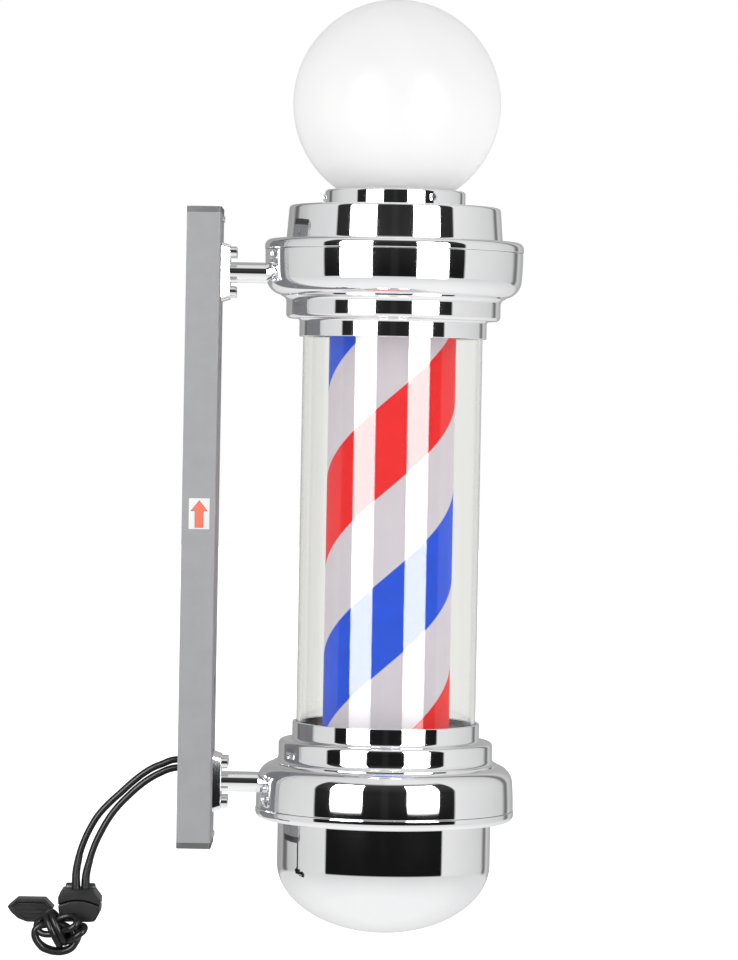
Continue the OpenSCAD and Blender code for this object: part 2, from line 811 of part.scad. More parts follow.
module light_lead() {
  color("black") sweep(light_route, lead_d, 10, [-1, 0, 0], [0, 0, -1], [0, 1, 0]);
}
module motor_lead() {
  color("black") sweep(motor_route, lead_d, 10, [-1, 0, 0], [0, 0, -1], [0, 1, 0]);
}
module mains_lead() {
  color("black") sweep(mains_route, lead_d, 10, [0, 0, -1], [0, -1, 0], [1, 0, 0]);
}
module mains_tail() {
  color("black") sweep(tail_route, lead_d, 10, [0, 1, 0], [0, 1, 0], [1, 0, 0]);
}

// The tied bundle of the mains lead, as its outer shape
module mains_hank() {
  h = hank_z[1] - hank_z[0];
  w = hank_x[1] - hank_x[0];
  color("black") translate([(hank_x[0] + hank_x[1]) / 2, hank_y[1], (hank_z[0] + hank_z[1]) / 2])
    rotate([90, 0, 0]) linear_extrude(hank_y[1] - hank_y[0]) round_rect(w, h, 13);
}

// Solid in X and Z, extruded through the box's depth
module front_block(points, y0, y1) {
  translate([0, y1, 0]) rotate([90, 0, 0]) linear_extrude(y1 - y0) polygon(points);
}

module switch_top() {
  rib = 1.6;
  slot = rocker_w / 2 + 0.3;
  color("black") difference() {
    union() {
      difference() {
        front_block([[-86.5, switch_top_z], [-61, switch_top_z], [-56.5, -280],
          [-57, switch_seam_z], [-88.5, switch_seam_z], [-88.5, -279]],
          -switch_half_y, switch_half_y);
        front_block([[-85.5, switch_top_z - switch_wall], [-61, switch_top_z - switch_wall],
          [-59, switch_seam_z - 1], [-86.5, switch_seam_z - 1]],
          -switch_half_y + switch_wall, switch_half_y - switch_wall);
      }
      for (x = rocker_x, s = [-1, 1])
        translate([x + s * (slot + rib / 2) - rib / 2, rocker_y - 3, rocker_pin_z - 2.5])
          cube([rib, 6, switch_top_z - switch_wall + 0.3 - rocker_pin_z + 2.5]);
    }
    for (x = rocker_x) {
      translate([x - slot, rocker_y - rocker_l / 2 - 0.8, rocker_pin_z - 6])
        cube([2 * slot, rocker_l + 1.6, 20]);
      translate([0, rocker_y, rocker_pin_z])
        rod_x(rocker_pin_r + run_gap, x - slot - rib - 0.5, x + slot + rib + 0.5);
    }
  }
}

module switch_bottom() {
  color("black") difference() {
    front_block([[-87.5, switch_seam_z], [-57.5, switch_seam_z], [-56.5, -288],
      [-61, switch_low_z], [-86, switch_low_z]], -switch_half_y, switch_half_y);
    front_block([[-85.5, switch_seam_z + 1], [-59.5, switch_seam_z + 1], [-58.8, -287.5],
      [-62.5, switch_low_z + switch_wall], [-84.3, switch_low_z + switch_wall]],
      -switch_half_y + switch_wall, switch_half_y - switch_wall);
    for (x = [-83, -64]) translate([x, 0, switch_low_z - 1]) cylinder(r = 1.3, h = 4);
  }
}

module switch_screws() {
  color("silver") for (x = [-83, -64]) {
    translate([x, 0, switch_low_z - 1.2]) cylinder(r = 2.2, h = 1.2);
    translate([x, 0, switch_low_z - 0.5]) cylinder(r = 1.2, h = 8);
  }
}

module rocker(x) {
  color("dimgray") translate([x, rocker_y, rocker_pin_z]) {
    translate([-rocker_w / 2, -rocker_l / 2, 2]) cube([rocker_w, rocker_l, 5.2]);
    translate([-rocker_w / 2, -2, -2]) cube([rocker_w, 4, 5]);
    rod_x(rocker_pin_r, -rocker_w / 2 - 1.6, rocker_w / 2 + 1.6);
  }
}
module light_rocker() { rocker(rocker_x[0]); }
module motor_rocker() { rocker(rocker_x[1]); }

module plug_body() {
  color("black") difference() {
    front_block([[-127.5, -286], [-120, -280], [-99, -280], [-92.5, -287.5], [-99, -298.5],
      [-115, -298.5]], plug_y[0], plug_y[1]);
    for (s = [-1, 1]) translate([plug_x + s * pin_half, plug_y[1] - 6, plug_z])
      rotate([-90, 0, 0]) cylinder(r = pin_r + run_gap / 2, h = 8);
  }
}

module plug_pins() {
  color("gold") for (s = [-1, 1]) translate([plug_x + s * pin_half, plug_y[1] - 5.9, plug_z])
    rotate([-90, 0, 0]) cylinder(r = pin_r, h = pin_l + 5.9);
}

bracket();
end_caps();
end_cap_screws();
arrow_sticker();
wall_clips();
clip_bolts();
toothed_washers();
flanges();
flange_screws();
arms();
arm_nuts();
upper_ring();
lower_ring();
outer_tube();
tube_seals();
lid_screws();
top_cap();
gallery();
globe();
globe_seal();
globe_set_screws();
lampholder();
bulb_base();
bulb_glass();
top_plate();
plate_screws();
lamp_column();
drum_bush();
led_cap();
led_tube();
led_driver();
bowl();
motor_plate();
motor_can();
motor_cover();
motor_screws();
motor_bush();
rotor_pin();
stator_coil();
terminal_block();
cord_clamp();
light_lead();
motor_lead();
switch_top();
switch_bottom();
switch_screws();
mains_lead();
mains_hank();
mains_tail();
plug_body();
plug_pins();
striped_drum();
drum_top_disc();
drum_bottom_disc();
drive_shaft();
drive_gear();
motor_rotor();
light_rocker();
motor_rocker();
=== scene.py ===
"""Barber pole light: the finished look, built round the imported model.

Metres. X runs from the wall to the pole and Z up; the origin is in the wall plane, midway up
the bracket. Sizes inside the outlines are millimetres and are scaled as they are drawn.
"""

import math

import bpy
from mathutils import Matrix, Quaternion, Vector


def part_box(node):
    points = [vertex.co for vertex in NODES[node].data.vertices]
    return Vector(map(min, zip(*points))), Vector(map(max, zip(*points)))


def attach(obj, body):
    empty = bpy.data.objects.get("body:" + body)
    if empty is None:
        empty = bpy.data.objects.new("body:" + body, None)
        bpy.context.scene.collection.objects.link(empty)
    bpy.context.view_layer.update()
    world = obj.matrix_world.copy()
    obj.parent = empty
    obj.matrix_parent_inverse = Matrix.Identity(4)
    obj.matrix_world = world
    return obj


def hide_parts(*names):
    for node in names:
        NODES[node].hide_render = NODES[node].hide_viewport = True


bl_info = {
    "name": "Barber pole light",
    "version": (1, 0, 0),
    "blender": (4, 5, 0),
    "location": "3D View > Sidebar > Barber pole",
    "description": "Builds the finished pieces and the studio of a wall-hung barber pole light",
    "category": "Object",
}

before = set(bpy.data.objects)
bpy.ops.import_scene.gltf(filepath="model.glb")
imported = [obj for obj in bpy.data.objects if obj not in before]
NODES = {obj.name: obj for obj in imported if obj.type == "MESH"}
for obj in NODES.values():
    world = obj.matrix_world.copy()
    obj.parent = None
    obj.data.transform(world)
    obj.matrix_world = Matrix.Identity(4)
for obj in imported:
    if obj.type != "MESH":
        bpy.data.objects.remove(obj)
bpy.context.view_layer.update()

MM = 0.001
DOUBLES = 0.002 * MM
# Painted glow: emission strength that brightens the drum's film, which is no lamp
FILM_PAINTED_GLOW = 0.35
# Painted glow: emission strength that brightens the opal globe
GLOBE_PAINTED_GLOW = 0.165
SOFTBOX_POWER = 20.0
BLUE_AT = 0.004

# Places read from the frame, in millimetres
TUBE_LOW, TUBE_HIGH = (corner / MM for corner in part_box("outer_tube"))
POLE_X = (TUBE_LOW.x + TUBE_HIGH.x) / 2
TUBE_R = (TUBE_HIGH.x - TUBE_LOW.x) / 2
TUBE_TOP = TUBE_HIGH.z
RING_LOW, RING_HIGH = (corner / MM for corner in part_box("upper_ring"))
RING_R = RING_HIGH.x - POLE_X
COLLAR_Z = RING_LOW.z
SEAM_Z = RING_HIGH.z
CAP_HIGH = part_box("top_cap")[1] / MM
LIP_R = CAP_HIGH.x - POLE_X
CAP_TOP = CAP_HIGH.z
GALLERY_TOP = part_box("gallery")[1].z / MM
GLOBE_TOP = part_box("globe")[1].z / MM
GLOBE_R = (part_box("globe")[1].x / MM) - POLE_X
BOWL_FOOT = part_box("bowl")[0].z / MM
FLANGE_LOW, FLANGE_HIGH = (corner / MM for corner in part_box("flanges"))
STICKER_LOW, STICKER_HIGH = (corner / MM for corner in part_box("arrow_sticker"))
DRUM_LOW, DRUM_HIGH = (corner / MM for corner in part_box("striped_drum"))
DRUM_R = DRUM_HIGH.x - POLE_X

# The cap's and the bowl's rolled lip, and the bore under the globe, in millimetres
LIP_GAP = 0.15
LIP_TOP = SEAM_Z + 8
LIP_WALL = 2.5
GALLERY_BORE = 45.5

# Routes of the leads, in millimetres
LIGHT_ROUTE = [
    (0, 0, -175), (-6, 0, -176), (-12, 0, -178.5), (-20, 0, -182), (-27, 0, -186.5),
    (-35, 0, -193), (-43, 0, -200.5), (-52, 0, -209), (-60, 0, -218), (-66, 0, -228),
    (-70.5, 0, -238), (-74, 0, -249), (-76, 0, -261), (-76, 0, -273.5),
]
MOTOR_ROUTE = [
    (0, 0, -181), (-7, 0, -182.5), (-14, 0, -185.5), (-22, 0, -190), (-30, 0, -196),
    (-38, 0, -203.5), (-46, 0, -212), (-52.5, 0, -221), (-58, 0, -231), (-62.5, 0, -241),
    (-66, 0, -252), (-68.5, 0, -263), (-69, 0, -273.5),
]
MAINS_START = [
    (-74, 0, -297.5), (-74, -0.6, -302), (-73.7, -4, -306.5), (-73.4, -9, -309.5),
]
FIRST_EAR = [
    (-104.5, -25, -303.5), (-101, -25, -299.5), (-95.5, -24, -298), (-89.5, -23.5, -295.5),
    (-84, -23, -292.8), (-78.5, -24, -291.6), (-74.2, -27, -293.2), (-73.2, -30, -296.2),
    (-76, -31, -299.2), (-81.5, -29, -301.3), (-88, -27, -303.8), (-94.5, -26, -305.2),
]
SECOND_EAR = [
    (-100.5, -25, -303.8), (-103.2, -23, -299.4), (-101, -20.5, -295.6), (-95.8, -19, -295.4),
    (-90.5, -18.5, -298.8), (-85, -18.3, -302.6), (-78.5, -18.3, -303.2), (-72.5, -19.5, -300.2),
    (-68.2, -22.5, -299.2), (-67.6, -26.2, -301.2), (-70.8, -28.5, -304.4),
    (-75.6, -27.5, -307.6), (-79.6, -24, -310.4),
]
MAINS_END = [
    (-90.6, -10.2, -306.4), (-92.2, -5.6, -302.4), (-93.4, -1.2, -298.8), (-95.4, 2.8, -295.6),
    (-98.6, 5.4, -292.6), (-102.4, 6.6, -290.6),
]
LOOP_CENTRE = Vector((-89.4, 0, -308.0))
LOOP_REACH = (15.4, 10.3)
LOOP_TILT = math.radians(-12)
ROCKERS = (("light_key", "light_switch", "light_rocker", -81),
           ("motor_key", "motor_switch", "motor_rocker", -65))
ROCKER_Y = 7
WRAP_CENTRE = Vector((-92.0, -21.5, -303.2))
WRAP_ALONG = Vector((0.49, 0, -0.87))
WRAP_STEP = Vector((0.87, 0, 0.49))


# -------- sizes and colours


def length(name, description, millimetres):
    return bpy.props.FloatProperty(
        name=name, description=description, default=millimetres * MM, unit="LENGTH",
        precision=4)


def colour(name, description, rgb):
    return bpy.props.FloatVectorProperty(
        name=name, description=description, subtype="COLOR", size=4, default=rgb + (1,),
        min=0, max=1)


class PoleSizes(bpy.types.PropertyGroup):
    """Sizes of the new pieces that a user would change"""

    turned_steps: bpy.props.IntProperty(
        name="Turning steps", description="Facets round each turned piece",
        default=144, min=48, max=256)
    edge_round: length("Edge round", "Small round on the metal edges", 0.6)
    wall_swell: length("Wall swell", "How far a ring's pressed wall swells to its seam", 0.7)
    stripe_lead: length("Stripe lead", "Height that a stripe climbs in one turn", 263.5)
    stripe_share: bpy.props.FloatProperty(
        name="Stripe share", description="Share of the lead that each coloured stripe takes",
        default=0.257, min=0.05, max=0.45, subtype="FACTOR")
    lead_d: length("Lead diameter", "Outside diameter of the leads", 5.2)


class PoleColours(bpy.types.PropertyGroup):
    """Colours that a user would change"""

    red: colour("Red stripe", "Colour of the red stripe", (0.93, 0.004, 0.006))
    blue: colour("Blue stripe", "Colour of the blue stripe", (0.004, 0.080, 0.75))
    white: colour("White film", "Colour of the drum's white film", (0.70, 0.655, 0.71))
    bracket: colour("Bracket paint", "Colour of the wall bracket", (0.358, 0.360, 0.370))
    rubber: colour("Black plastic", "Colour of the leads, switch box and plug",
                   (0.009, 0.009, 0.0095))


def sizes():
    return bpy.context.scene.barber_sizes


def colours():
    return bpy.context.scene.barber_colours


# -------- modelling helpers


def mode(kind):
    bpy.ops.object.mode_set(mode=kind)


def start_clear():
    """Object mode with nothing selected."""
    if bpy.context.object and bpy.context.object.mode != "OBJECT":
        mode("OBJECT")
    bpy.ops.object.select_all(action="DESELECT")


def only(ob):
    start_clear()
    ob.select_set(True)
    bpy.context.view_layer.objects.active = ob


def settle(ob):
    """Leaves the object at the origin, unturned and unscaled, with its place in its mesh."""
    only(ob)
    bpy.ops.object.transform_apply(location=True, rotation=True, scale=True)


def named(ob, name):
    ob.name = name
    ob.data.name = name


def merge_doubles():
    """Selects all, and makes one of vertices that lie together."""
    bpy.ops.mesh.select_all(action="SELECT")
    bpy.ops.mesh.remove_doubles(threshold=DOUBLES)


def outward():
    """Merges doubles and points every face outwards, then leaves edit mode."""
    bpy.ops.mesh.select_mode(type="VERT")
    merge_doubles()
    bpy.ops.mesh.normals_make_consistent(inside=False)
    mode("OBJECT")


def choose(ob, kind, wanted):
    """Edit mode with only the wanted faces or edges selected."""
    only(ob)
    mode("EDIT")
    bpy.ops.mesh.select_mode(type=kind)
    bpy.ops.mesh.select_all(action="DESELECT")
    mode("OBJECT")
    for item in (ob.data.polygons if kind == "FACE" else ob.data.edges):
        item.select = wanted(item)
    mode("EDIT")


def modified(ob, kind, **settings):
    """Adds a modifier, sets it and applies it."""
    only(ob)
    bpy.ops.object.modifier_add(type=kind)
    modifier = ob.modifiers[-1]
    for name, value in settings.items():
        setattr(modifier, name, value)
    bpy.ops.object.modifier_apply(modifier=modifier.name)


def polish(ob):
    """Smooth shading that keeps flats flat and edges crisp."""
    only(ob)
    bpy.ops.object.shade_smooth_by_angle(angle=math.radians(35))
    modified(ob, "WEIGHTED_NORMAL", keep_sharp=True)


def soften(ob, width, segments=3, degrees=30):
    """Rounds every edge sharper than the angle."""
    modified(ob, "BEVEL", width=width * MM, segments=segments, limit_method="ANGLE",
             angle_limit=math.radians(degrees), harden_normals=False)


def drawn(name, points):
    """A closed wire in edit mode, all selected: one vertex is extruded along the outline."""
    start_clear()
    bpy.ops.mesh.primitive_plane_add(size=MM, location=Vector(points[0]) * MM)
    ob = bpy.context.object
    named(ob, name)
    settle(ob)
    mode("EDIT")
    bpy.ops.mesh.select_all(action="SELECT")
    bpy.ops.mesh.merge(type="CENTER")
    path = [Vector(p) for p in [*points, points[0]]]
    for here, there in zip(path, path[1:]):
        bpy.ops.mesh.extrude_region_move(TRANSFORM_OT_translate={"value": (there - here) * MM})
    merge_doubles()
    return ob


def turned(name, outline, axis_at=None, axis=(0, 0, 1), steps=None):
    """A closed outline of (radius, height) points, turned round the pole's axis or another."""
    centre = Vector(axis_at or (POLE_X, 0, 0))
    up = Vector(axis)
    out = Vector((0, 0, 1)) if abs(up.z) < 0.5 else Vector((1, 0, 0))
    ob = drawn(name, [centre + out * r + up * h for r, h in outline])
    bpy.ops.mesh.spin(steps=steps or sizes().turned_steps, angle=math.tau,
                      center=centre * MM, axis=up)
    outward()
    polish(ob)
    return ob


def prism(name, outline, low, high, along="y"):
    """A flat outline filled and drawn out along Y, or along X from a (y, z) outline."""
    flat_on_y = along == "y"
    ob = drawn(name, [(a, low, b) if flat_on_y else (low, a, b) for a, b in outline])
    bpy.ops.mesh.edge_face_add()
    deep = (high - low) * MM
    move = (0, deep, 0) if flat_on_y else (deep, 0, 0)
    bpy.ops.mesh.extrude_region_move(TRANSFORM_OT_translate={"value": move})
    outward()
    return ob


def arc(centre_r, centre_h, radius, start, end, count):
    """Points on an arc of an outline, both ends included; angles in degrees."""
    turns = [math.radians(start + (end - start) * i / count) for i in range(count + 1)]
    return [(centre_r + radius * math.cos(turn), centre_h + radius * math.sin(turn))
            for turn in turns]


def upside_down(outline):
    return [(r, -h) for r, h in outline]


def place(ob, slot, *nodes, body="frame", finish=None):
    """Puts a finished piece on its body, for the CAD nodes that it stands for."""
    ob.data.materials.clear()
    ob.data.materials.append(slot_material(finish or slot))
    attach(ob, body)
    if nodes:
        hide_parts(*nodes)


def pocketed(ob, *boxes):
    """Cuts square pockets, each given as its low and high corner in millimetres."""
    for low, high in boxes:
        low, high = Vector(low), Vector(high)
        start_clear()
        bpy.ops.mesh.primitive_cube_add(size=1, location=(low + high) / 2 * MM,
                                        scale=(high - low) * MM)
        cutter = bpy.context.object
        modified(ob, "BOOLEAN", object=cutter, operation="DIFFERENCE", solver="EXACT")
        only(cutter)
        bpy.ops.object.delete()


def hide_from(ob, *rays):
    for ray in rays:
        setattr(ob, "visible_" + ray, False)


def joined(name, *obs):
    """Several closed shells made one piece."""
    start_clear()
    for ob in obs:
        ob.select_set(True)
    bpy.context.view_layer.objects.active = obs[0]
    bpy.ops.object.join()
    named(obs[0], name)
    polish(obs[0])
    return obs[0]


# -------- material helpers


def made(name, maker):
    """The material of that name, built by the maker the first time it is asked for."""
    mat = bpy.data.materials.get(name + "_finish")
    if mat is None:
        mat = bpy.data.materials.new(name + "_finish")
        mat.use_nodes = True
        maker(mat.node_tree, mat.node_tree.nodes["Principled BSDF"])
    return mat


def feed(tree, node, inputs):
    """Links each input that is given a socket, and sets each that is given a value."""
    for name, value in inputs.items():
        if isinstance(value, bpy.types.NodeSocket):
            tree.links.new(value, node.inputs[name])
        elif value is not None:
            node.inputs[name].default_value = value


def added(tree, kind, inputs=None, **settings):
    """A new shader node with its settings and inputs."""
    node = tree.nodes.new("ShaderNode" + kind)
    for name, value in settings.items():
        setattr(node, name, value)
    feed(tree, node, inputs or {})
    return node


def maths(tree, operation, a, b=None, clamp=False):
    return added(tree, "Math", {0: a, 1: b}, operation=operation, use_clamp=clamp).outputs[0]


def times(tree, a, b, clamp=False):
    return maths(tree, "MULTIPLY", a, b, clamp)


def minus(tree, a, b):
    return maths(tree, "SUBTRACT", a, b)


def over(tree, a, b, clamp=False):
    return maths(tree, "DIVIDE", a, b, clamp)


def object_point(tree, centre=(0, 0, 0), stretch=(1, 1, 1)):
    """The piece's own coordinates, taken from a centre in millimetres."""
    return added(tree, "Mapping", {
        "Vector": added(tree, "TexCoord").outputs["Object"],
        "Location": [-c * MM * s for c, s in zip(centre, stretch)],
        "Scale": stretch,
    }).outputs["Vector"]


def noise(tree, scale, detail=3.0, rough=0.55, point=None):
    """Noise from 0 to 1; scale is in cells per metre."""
    return added(tree, "TexNoise", {
        "Scale": scale, "Detail": detail, "Roughness": rough,
        "Vector": point or object_point(tree)}).outputs["Fac"]


def spanned(tree, value, low=0, high=1, from_low=0.3, from_high=0.7):
    """A value stretched to run from low to high."""
    return added(tree, "MapRange", {
        "Value": value, "From Min": from_low, "From Max": from_high, "To Min": low,
        "To Max": high}).outputs["Result"]


def blended(tree, factor, first, second):
    """Two colours mixed; each is four numbers or a socket."""
    return added(tree, "Mix", {0: factor, 6: first, 7: second}, data_type="RGBA").outputs[2]


def grey(level):
    return (level, level, level, 1)


def shade(tone, factor):
    return tuple(min(1.0, c * factor) for c in tuple(tone)[:3]) + (1.0,)


def bump(tree, shader, height, strength, distance):
    node = added(tree, "Bump", {"Strength": strength, "Distance": distance, "Height": height})
    feed(tree, shader, {"Normal": node.outputs["Normal"]})


def surface(tree, shader, tone, rough, grain=900.0, tint=0.08, metal=0.0, rough_span=0.06,
            depth=0.02, strength=0.2, coat=0.0, specular=0.5, stretch=(1, 1, 1)):
    """A soft colour drift, uneven gloss and a fine grain.

    grain is in cells per metre and depth in millimetres."""
    point = object_point(tree, stretch=stretch)
    drift = noise(tree, grain * 0.03, 2.0, point=point)
    fine = noise(tree, grain, 4.0, 0.6, point=point)
    drifted = blended(tree, spanned(tree, drift), shade(tone, 1 - tint),
                      shade(tone, 1 + tint))
    patch = maths(tree, "ADD", times(tree, drift, 0.5), times(tree, fine, 0.5))
    feed(tree, shader, {
        "Base Color": blended(tree, spanned(tree, fine, 0, 0.25), drifted,
                              shade(tone, 1 - 2 * tint)),
        "Roughness": spanned(tree, patch, max(0.0, rough - rough_span), rough + rough_span),
        "Metallic": metal, "Coat Weight": coat, "Coat Roughness": 0.12,
        "Specular IOR Level": specular})
    bump(tree, shader, fine, strength, depth * MM)


def chrome(tree, shader):
    """Bright plating: a clean mirror with faint haze and hairlines."""
    haze = noise(tree, 26, 2.0)
    hair = noise(tree, 700, 3.0, point=object_point(tree, stretch=(1, 1, 6)))
    mix = maths(tree, "ADD", times(tree, haze, 0.7), times(tree, hair, 0.3))
    feed(tree, shader, {
        "Base Color": blended(tree, spanned(tree, haze), (0.90, 0.905, 0.915, 1),
                              (0.945, 0.945, 0.95, 1)),
        "Metallic": 1.0, "Roughness": spanned(tree, mix, 0.02, 0.055)})
    bump(tree, shader, haze, 0.05, 0.05 * MM)


def drum_film(tree, shader):
    """Printed film: one red and one blue helical stripe on white, with a painted glow in its own
    colours.
    """
    parts = added(tree, "SeparateXYZ", {"Vector": object_point(tree, centre=(POLE_X, 0, 0))})
    turn = over(tree, maths(tree, "ARCTAN2", parts.outputs["Y"], parts.outputs["X"]), math.tau)
    climb = over(tree, parts.outputs["Z"], sizes().stripe_lead)
    wobble = times(tree, minus(tree, noise(tree, 350, 2.0), 0.5), 0.0006)
    phase = maths(tree, "ADD", minus(tree, climb, turn), wobble)

    def stripe(centre):
        """1 on the stripe, with an edge as sharp as print."""
        away = maths(tree, "PINGPONG", minus(tree, phase, centre), 0.5)
        return times(tree, minus(tree, sizes().stripe_share / 2, away), 1500.0, True)

    ink = spanned(tree, noise(tree, 60, 3.0))
    speck = noise(tree, 2600, 2.0)
    red, blue, white = (
        blended(tree, ink, shade(tone, dark), shade(tone, light))
        for tone, dark, light in ((colours().red, 0.95, 1.05), (colours().blue, 0.93, 1.08),
                                  (colours().white, 0.98, 1.02)))
    tone = blended(tree, stripe(BLUE_AT + 0.5), white, red)
    tone = blended(tree, stripe(BLUE_AT), tone, blue)
    from_seam = maths(tree, "ABSOLUTE", minus(tree, turn, 0.25))
    seam = times(tree, minus(tree, 0.0016, from_seam), 2000.0, True)
    tone = blended(tree, times(tree, seam, 0.25), tone, (0.3, 0.3, 0.32, 1))
    # Painted glow: the film emits its own colours, which lifts it as if it were lit more brightly
    feed(tree, shader, {
        "Base Color": tone, "Emission Color": tone, "Emission Strength": FILM_PAINTED_GLOW,
        "Roughness": spanned(tree, speck, 0.52, 0.62), "Specular IOR Level": 0.03})
    bump(tree, shader, maths(tree, "ADD", speck, seam), 0.12, 0.02 * MM)


def clear_acrylic(tree, shader):
    """Clear extruded acrylic with faint draw lines along its length."""
    lines = noise(tree, 240, 3.0, point=object_point(tree, stretch=(1, 1, 0.02)))
    feed(tree, shader, {
        "Base Color": blended(tree, spanned(tree, lines), (0.965, 0.965, 0.955, 1),
                              (0.985, 0.985, 0.98, 1)),
        "Roughness": spanned(tree, lines, 0.0, 0.02), "Transmission Weight": 1.0,
        "IOR": 1.49})
    bump(tree, shader, lines, 0.02, 0.02 * MM)


def opal_glass(tree, shader):
    """Opal glass: milky white under a smooth clear skin, with a faint painted glow."""
    cloud = noise(tree, 40, 3.0)
    # Painted glow: a faint white emission brightens the globe
    feed(tree, shader, {
        "Base Color": blended(tree, spanned(tree, cloud), grey(0.87),
                              (0.90, 0.90, 0.895, 1)),
        "Roughness": spanned(tree, noise(tree, 500, 2.0), 0.18, 0.26),
        "Subsurface Weight": 0.35, "Subsurface Radius": (0.01, 0.01, 0.01),
        "Specular IOR Level": 0.06, "Emission Color": grey(1),
        "Emission Strength": GLOBE_PAINTED_GLOW})
    bump(tree, shader, cloud, 0.04, 0.1 * MM)


def lead_sheath(tree, shader):
    """Soft black sheath with a fine matt grain."""
    surface(tree, shader, colours().rubber, 0.29, 1500, 0.15, rough_span=0.08, depth=0.03,
            strength=0.3, specular=0.2)


def black_plastic(tree, shader):
    """Moulded black plastic with a spark-eroded grain."""
    surface(tree, shader, shade(colours().rubber, 1.3), 0.36, 2200, 0.12, rough_span=0.08,
            depth=0.03, strength=0.35, specular=0.2)


def bracket_paint(tree, shader):
    """Matt grey powder paint."""
    surface(tree, shader, colours().bracket, 0.5, 2400, 0.03, depth=0.03, strength=0.25,
            specular=0.2)


def moulded(tone, rough, grain, tint, depth=0.02, strength=0.2, **more):
    return dict(tone=tone, rough=rough, grain=grain, tint=tint, depth=depth,
                strength=strength, **more)


def metallic(tone, rough, grain, tint, rough_span=0.1, metal=1.0, **more):
    return dict(tone=tone, rough=rough, grain=grain, tint=tint, rough_span=rough_span,
                metal=metal, **more)


# Tone, roughness, grain and tint of each plain finish
FINISHES = {
    "dark_plastic": moulded((0.05, 0.05, 0.052), 0.45, 1800, 0.1, 0.03, 0.3),
    "screw_steel": metallic((0.56, 0.56, 0.57), 0.28, 1500, 0.06),
    "zinc_steel": metallic((0.62, 0.63, 0.66), 0.32, 700, 0.1, 0.12),
    "chrome_screws": metallic((0.86, 0.865, 0.88), 0.08, 900, 0.03, 0.04),
    "seal_rubber": moulded((0.62, 0.62, 0.63), 0.35, 1600, 0.06, 0.03),
    "white_rubber": moulded((0.78, 0.78, 0.76), 0.6, 1400, 0.04, 0.04, 0.3, specular=0.35),
    "white_plastic": moulded((0.8, 0.8, 0.78), 0.38, 1200, 0.03),
    "bulb_metal": metallic((0.7, 0.7, 0.71), 0.25, 900, 0.05),
    "bulb_glass": moulded((0.92, 0.92, 0.9), 0.3, 500, 0.02, 0.01, 0.1, coat=0.2),
    "nylon": moulded((0.75, 0.73, 0.67), 0.45, 1000, 0.05),
    "lamp_tube": moulded((0.88, 0.89, 0.9), 0.4, 600, 0.02, 0.01, 0.1),
    "motor_metal": metallic((0.5, 0.5, 0.52), 0.35, 800, 0.08),
    "bush_brass": metallic((0.75, 0.55, 0.26), 0.3, 1000, 0.08),
    "coil": metallic((0.6, 0.27, 0.12), 0.35, 2500, 0.15, 0.06, 0.9, depth=0.2, strength=0.6,
                     stretch=(0.2, 0.2, 6)),
    "pin_brass": metallic((0.72, 0.68, 0.58), 0.22, 1300, 0.06, 0.08),
    "rotor_dark": metallic((0.12, 0.12, 0.125), 0.4, 1300, 0.1, metal=0.6),
    "rocker_grey": moulded((0.035, 0.035, 0.037), 0.38, 1500, 0.1, 0.03, 0.25),
    "sticker": moulded((0.86, 0.86, 0.85), 0.35, 1500, 0.02, 0.01, 0.1, coat=0.2),
    "arrow_ink": moulded((1.0, 0.12, 0.04), 0.35, 1600, 0.05, 0.01, 0.1),
    "arrow_line": moulded((0.16, 0.05, 0.04), 0.4, 1600, 0.05, 0.01, 0.1),
}
MAKERS = {
    "chrome": ("bright_chrome", chrome),
    "clear_tube": ("clear_acrylic", clear_acrylic),
    "opal_globe": ("opal_glass", opal_glass),
    "drum_film": ("drum_film", drum_film),
    "cord": ("lead_sheath", lead_sheath),
    "black_plastic": ("moulded_black", black_plastic),
    "bracket_grey": ("bracket_paint", bracket_paint),
}


def slot_material(slot):
    """The finish that a material slot of the record gets."""
    if slot in MAKERS:
        return made(*MAKERS[slot])
    return made(slot, lambda tree, shader: surface(tree, shader, **FINISHES[slot]))


# -------- operators: view and leads


class BARBER_OT_camera(bpy.types.Operator):
    """Set the camera in front of the light"""

    bl_idname = "barber.camera"
    bl_label = "Camera"

    def execute(self, context):
        eye = Vector((0.1390, -3.0, 0.1000))
        target = Vector((0.1386, 0, 0.0373))
        turn = (target - eye).to_track_quat("-Z", "Y")
        turn = turn @ Quaternion((0, 0, 1), math.radians(1.05))
        start_clear()
        bpy.ops.object.camera_add(location=eye, rotation=turn.to_euler())
        camera = context.object
        camera.name = "studio_camera"
        camera.data.sensor_fit = "VERTICAL"
        camera.data.sensor_height = 36
        camera.data.lens = 150
        camera.data.clip_end = 60
        camera.data.dof.use_dof = False
        context.scene.camera = camera
        context.scene.view_settings.view_transform = "Standard"
        return {"FINISHED"}


def loop_point(turns, depth):
    """A point on the bundle's lower loop, after that many turns."""
    angle = -math.tau * turns
    across = Vector((math.cos(LOOP_TILT), 0, math.sin(LOOP_TILT)))
    up = Vector((-math.sin(LOOP_TILT), 0, math.cos(LOOP_TILT)))
    point = LOOP_CENTRE + across * LOOP_REACH[0] * math.cos(angle)
    point = point + up * LOOP_REACH[1] * math.sin(angle)
    return Vector((point.x, depth, point.z))


def wrap_point(turns, offset):
    """A point on the wraps round the bundle's waist."""
    angle = math.tau * turns
    along = WRAP_ALONG * 12.3 * math.cos(angle)
    depth = Vector((0, 1, 0)) * 9.2 * math.sin(angle)
    return WRAP_CENTRE + along + depth + WRAP_STEP * offset


def mains_path():
    """The mains lead: from the switch box, through the tied bundle, to the plug."""
    per_turn = 16
    loop_turns = 2.35
    loops = [
        loop_point(0.03 + i / per_turn, -15 - 4.3 * i / per_turn)
        for i in range(int(loop_turns * per_turn) + 1)
    ]
    wrap_steps = 33
    wraps = [
        wrap_point(0.06 + i / per_turn, 8.6 - 4.4 * i / per_turn)
        for i in range(wrap_steps + 1)
    ]
    points = MAINS_START + loops + FIRST_EAR + SECOND_EAR + wraps + MAINS_END
    return [Vector(p) for p in points]


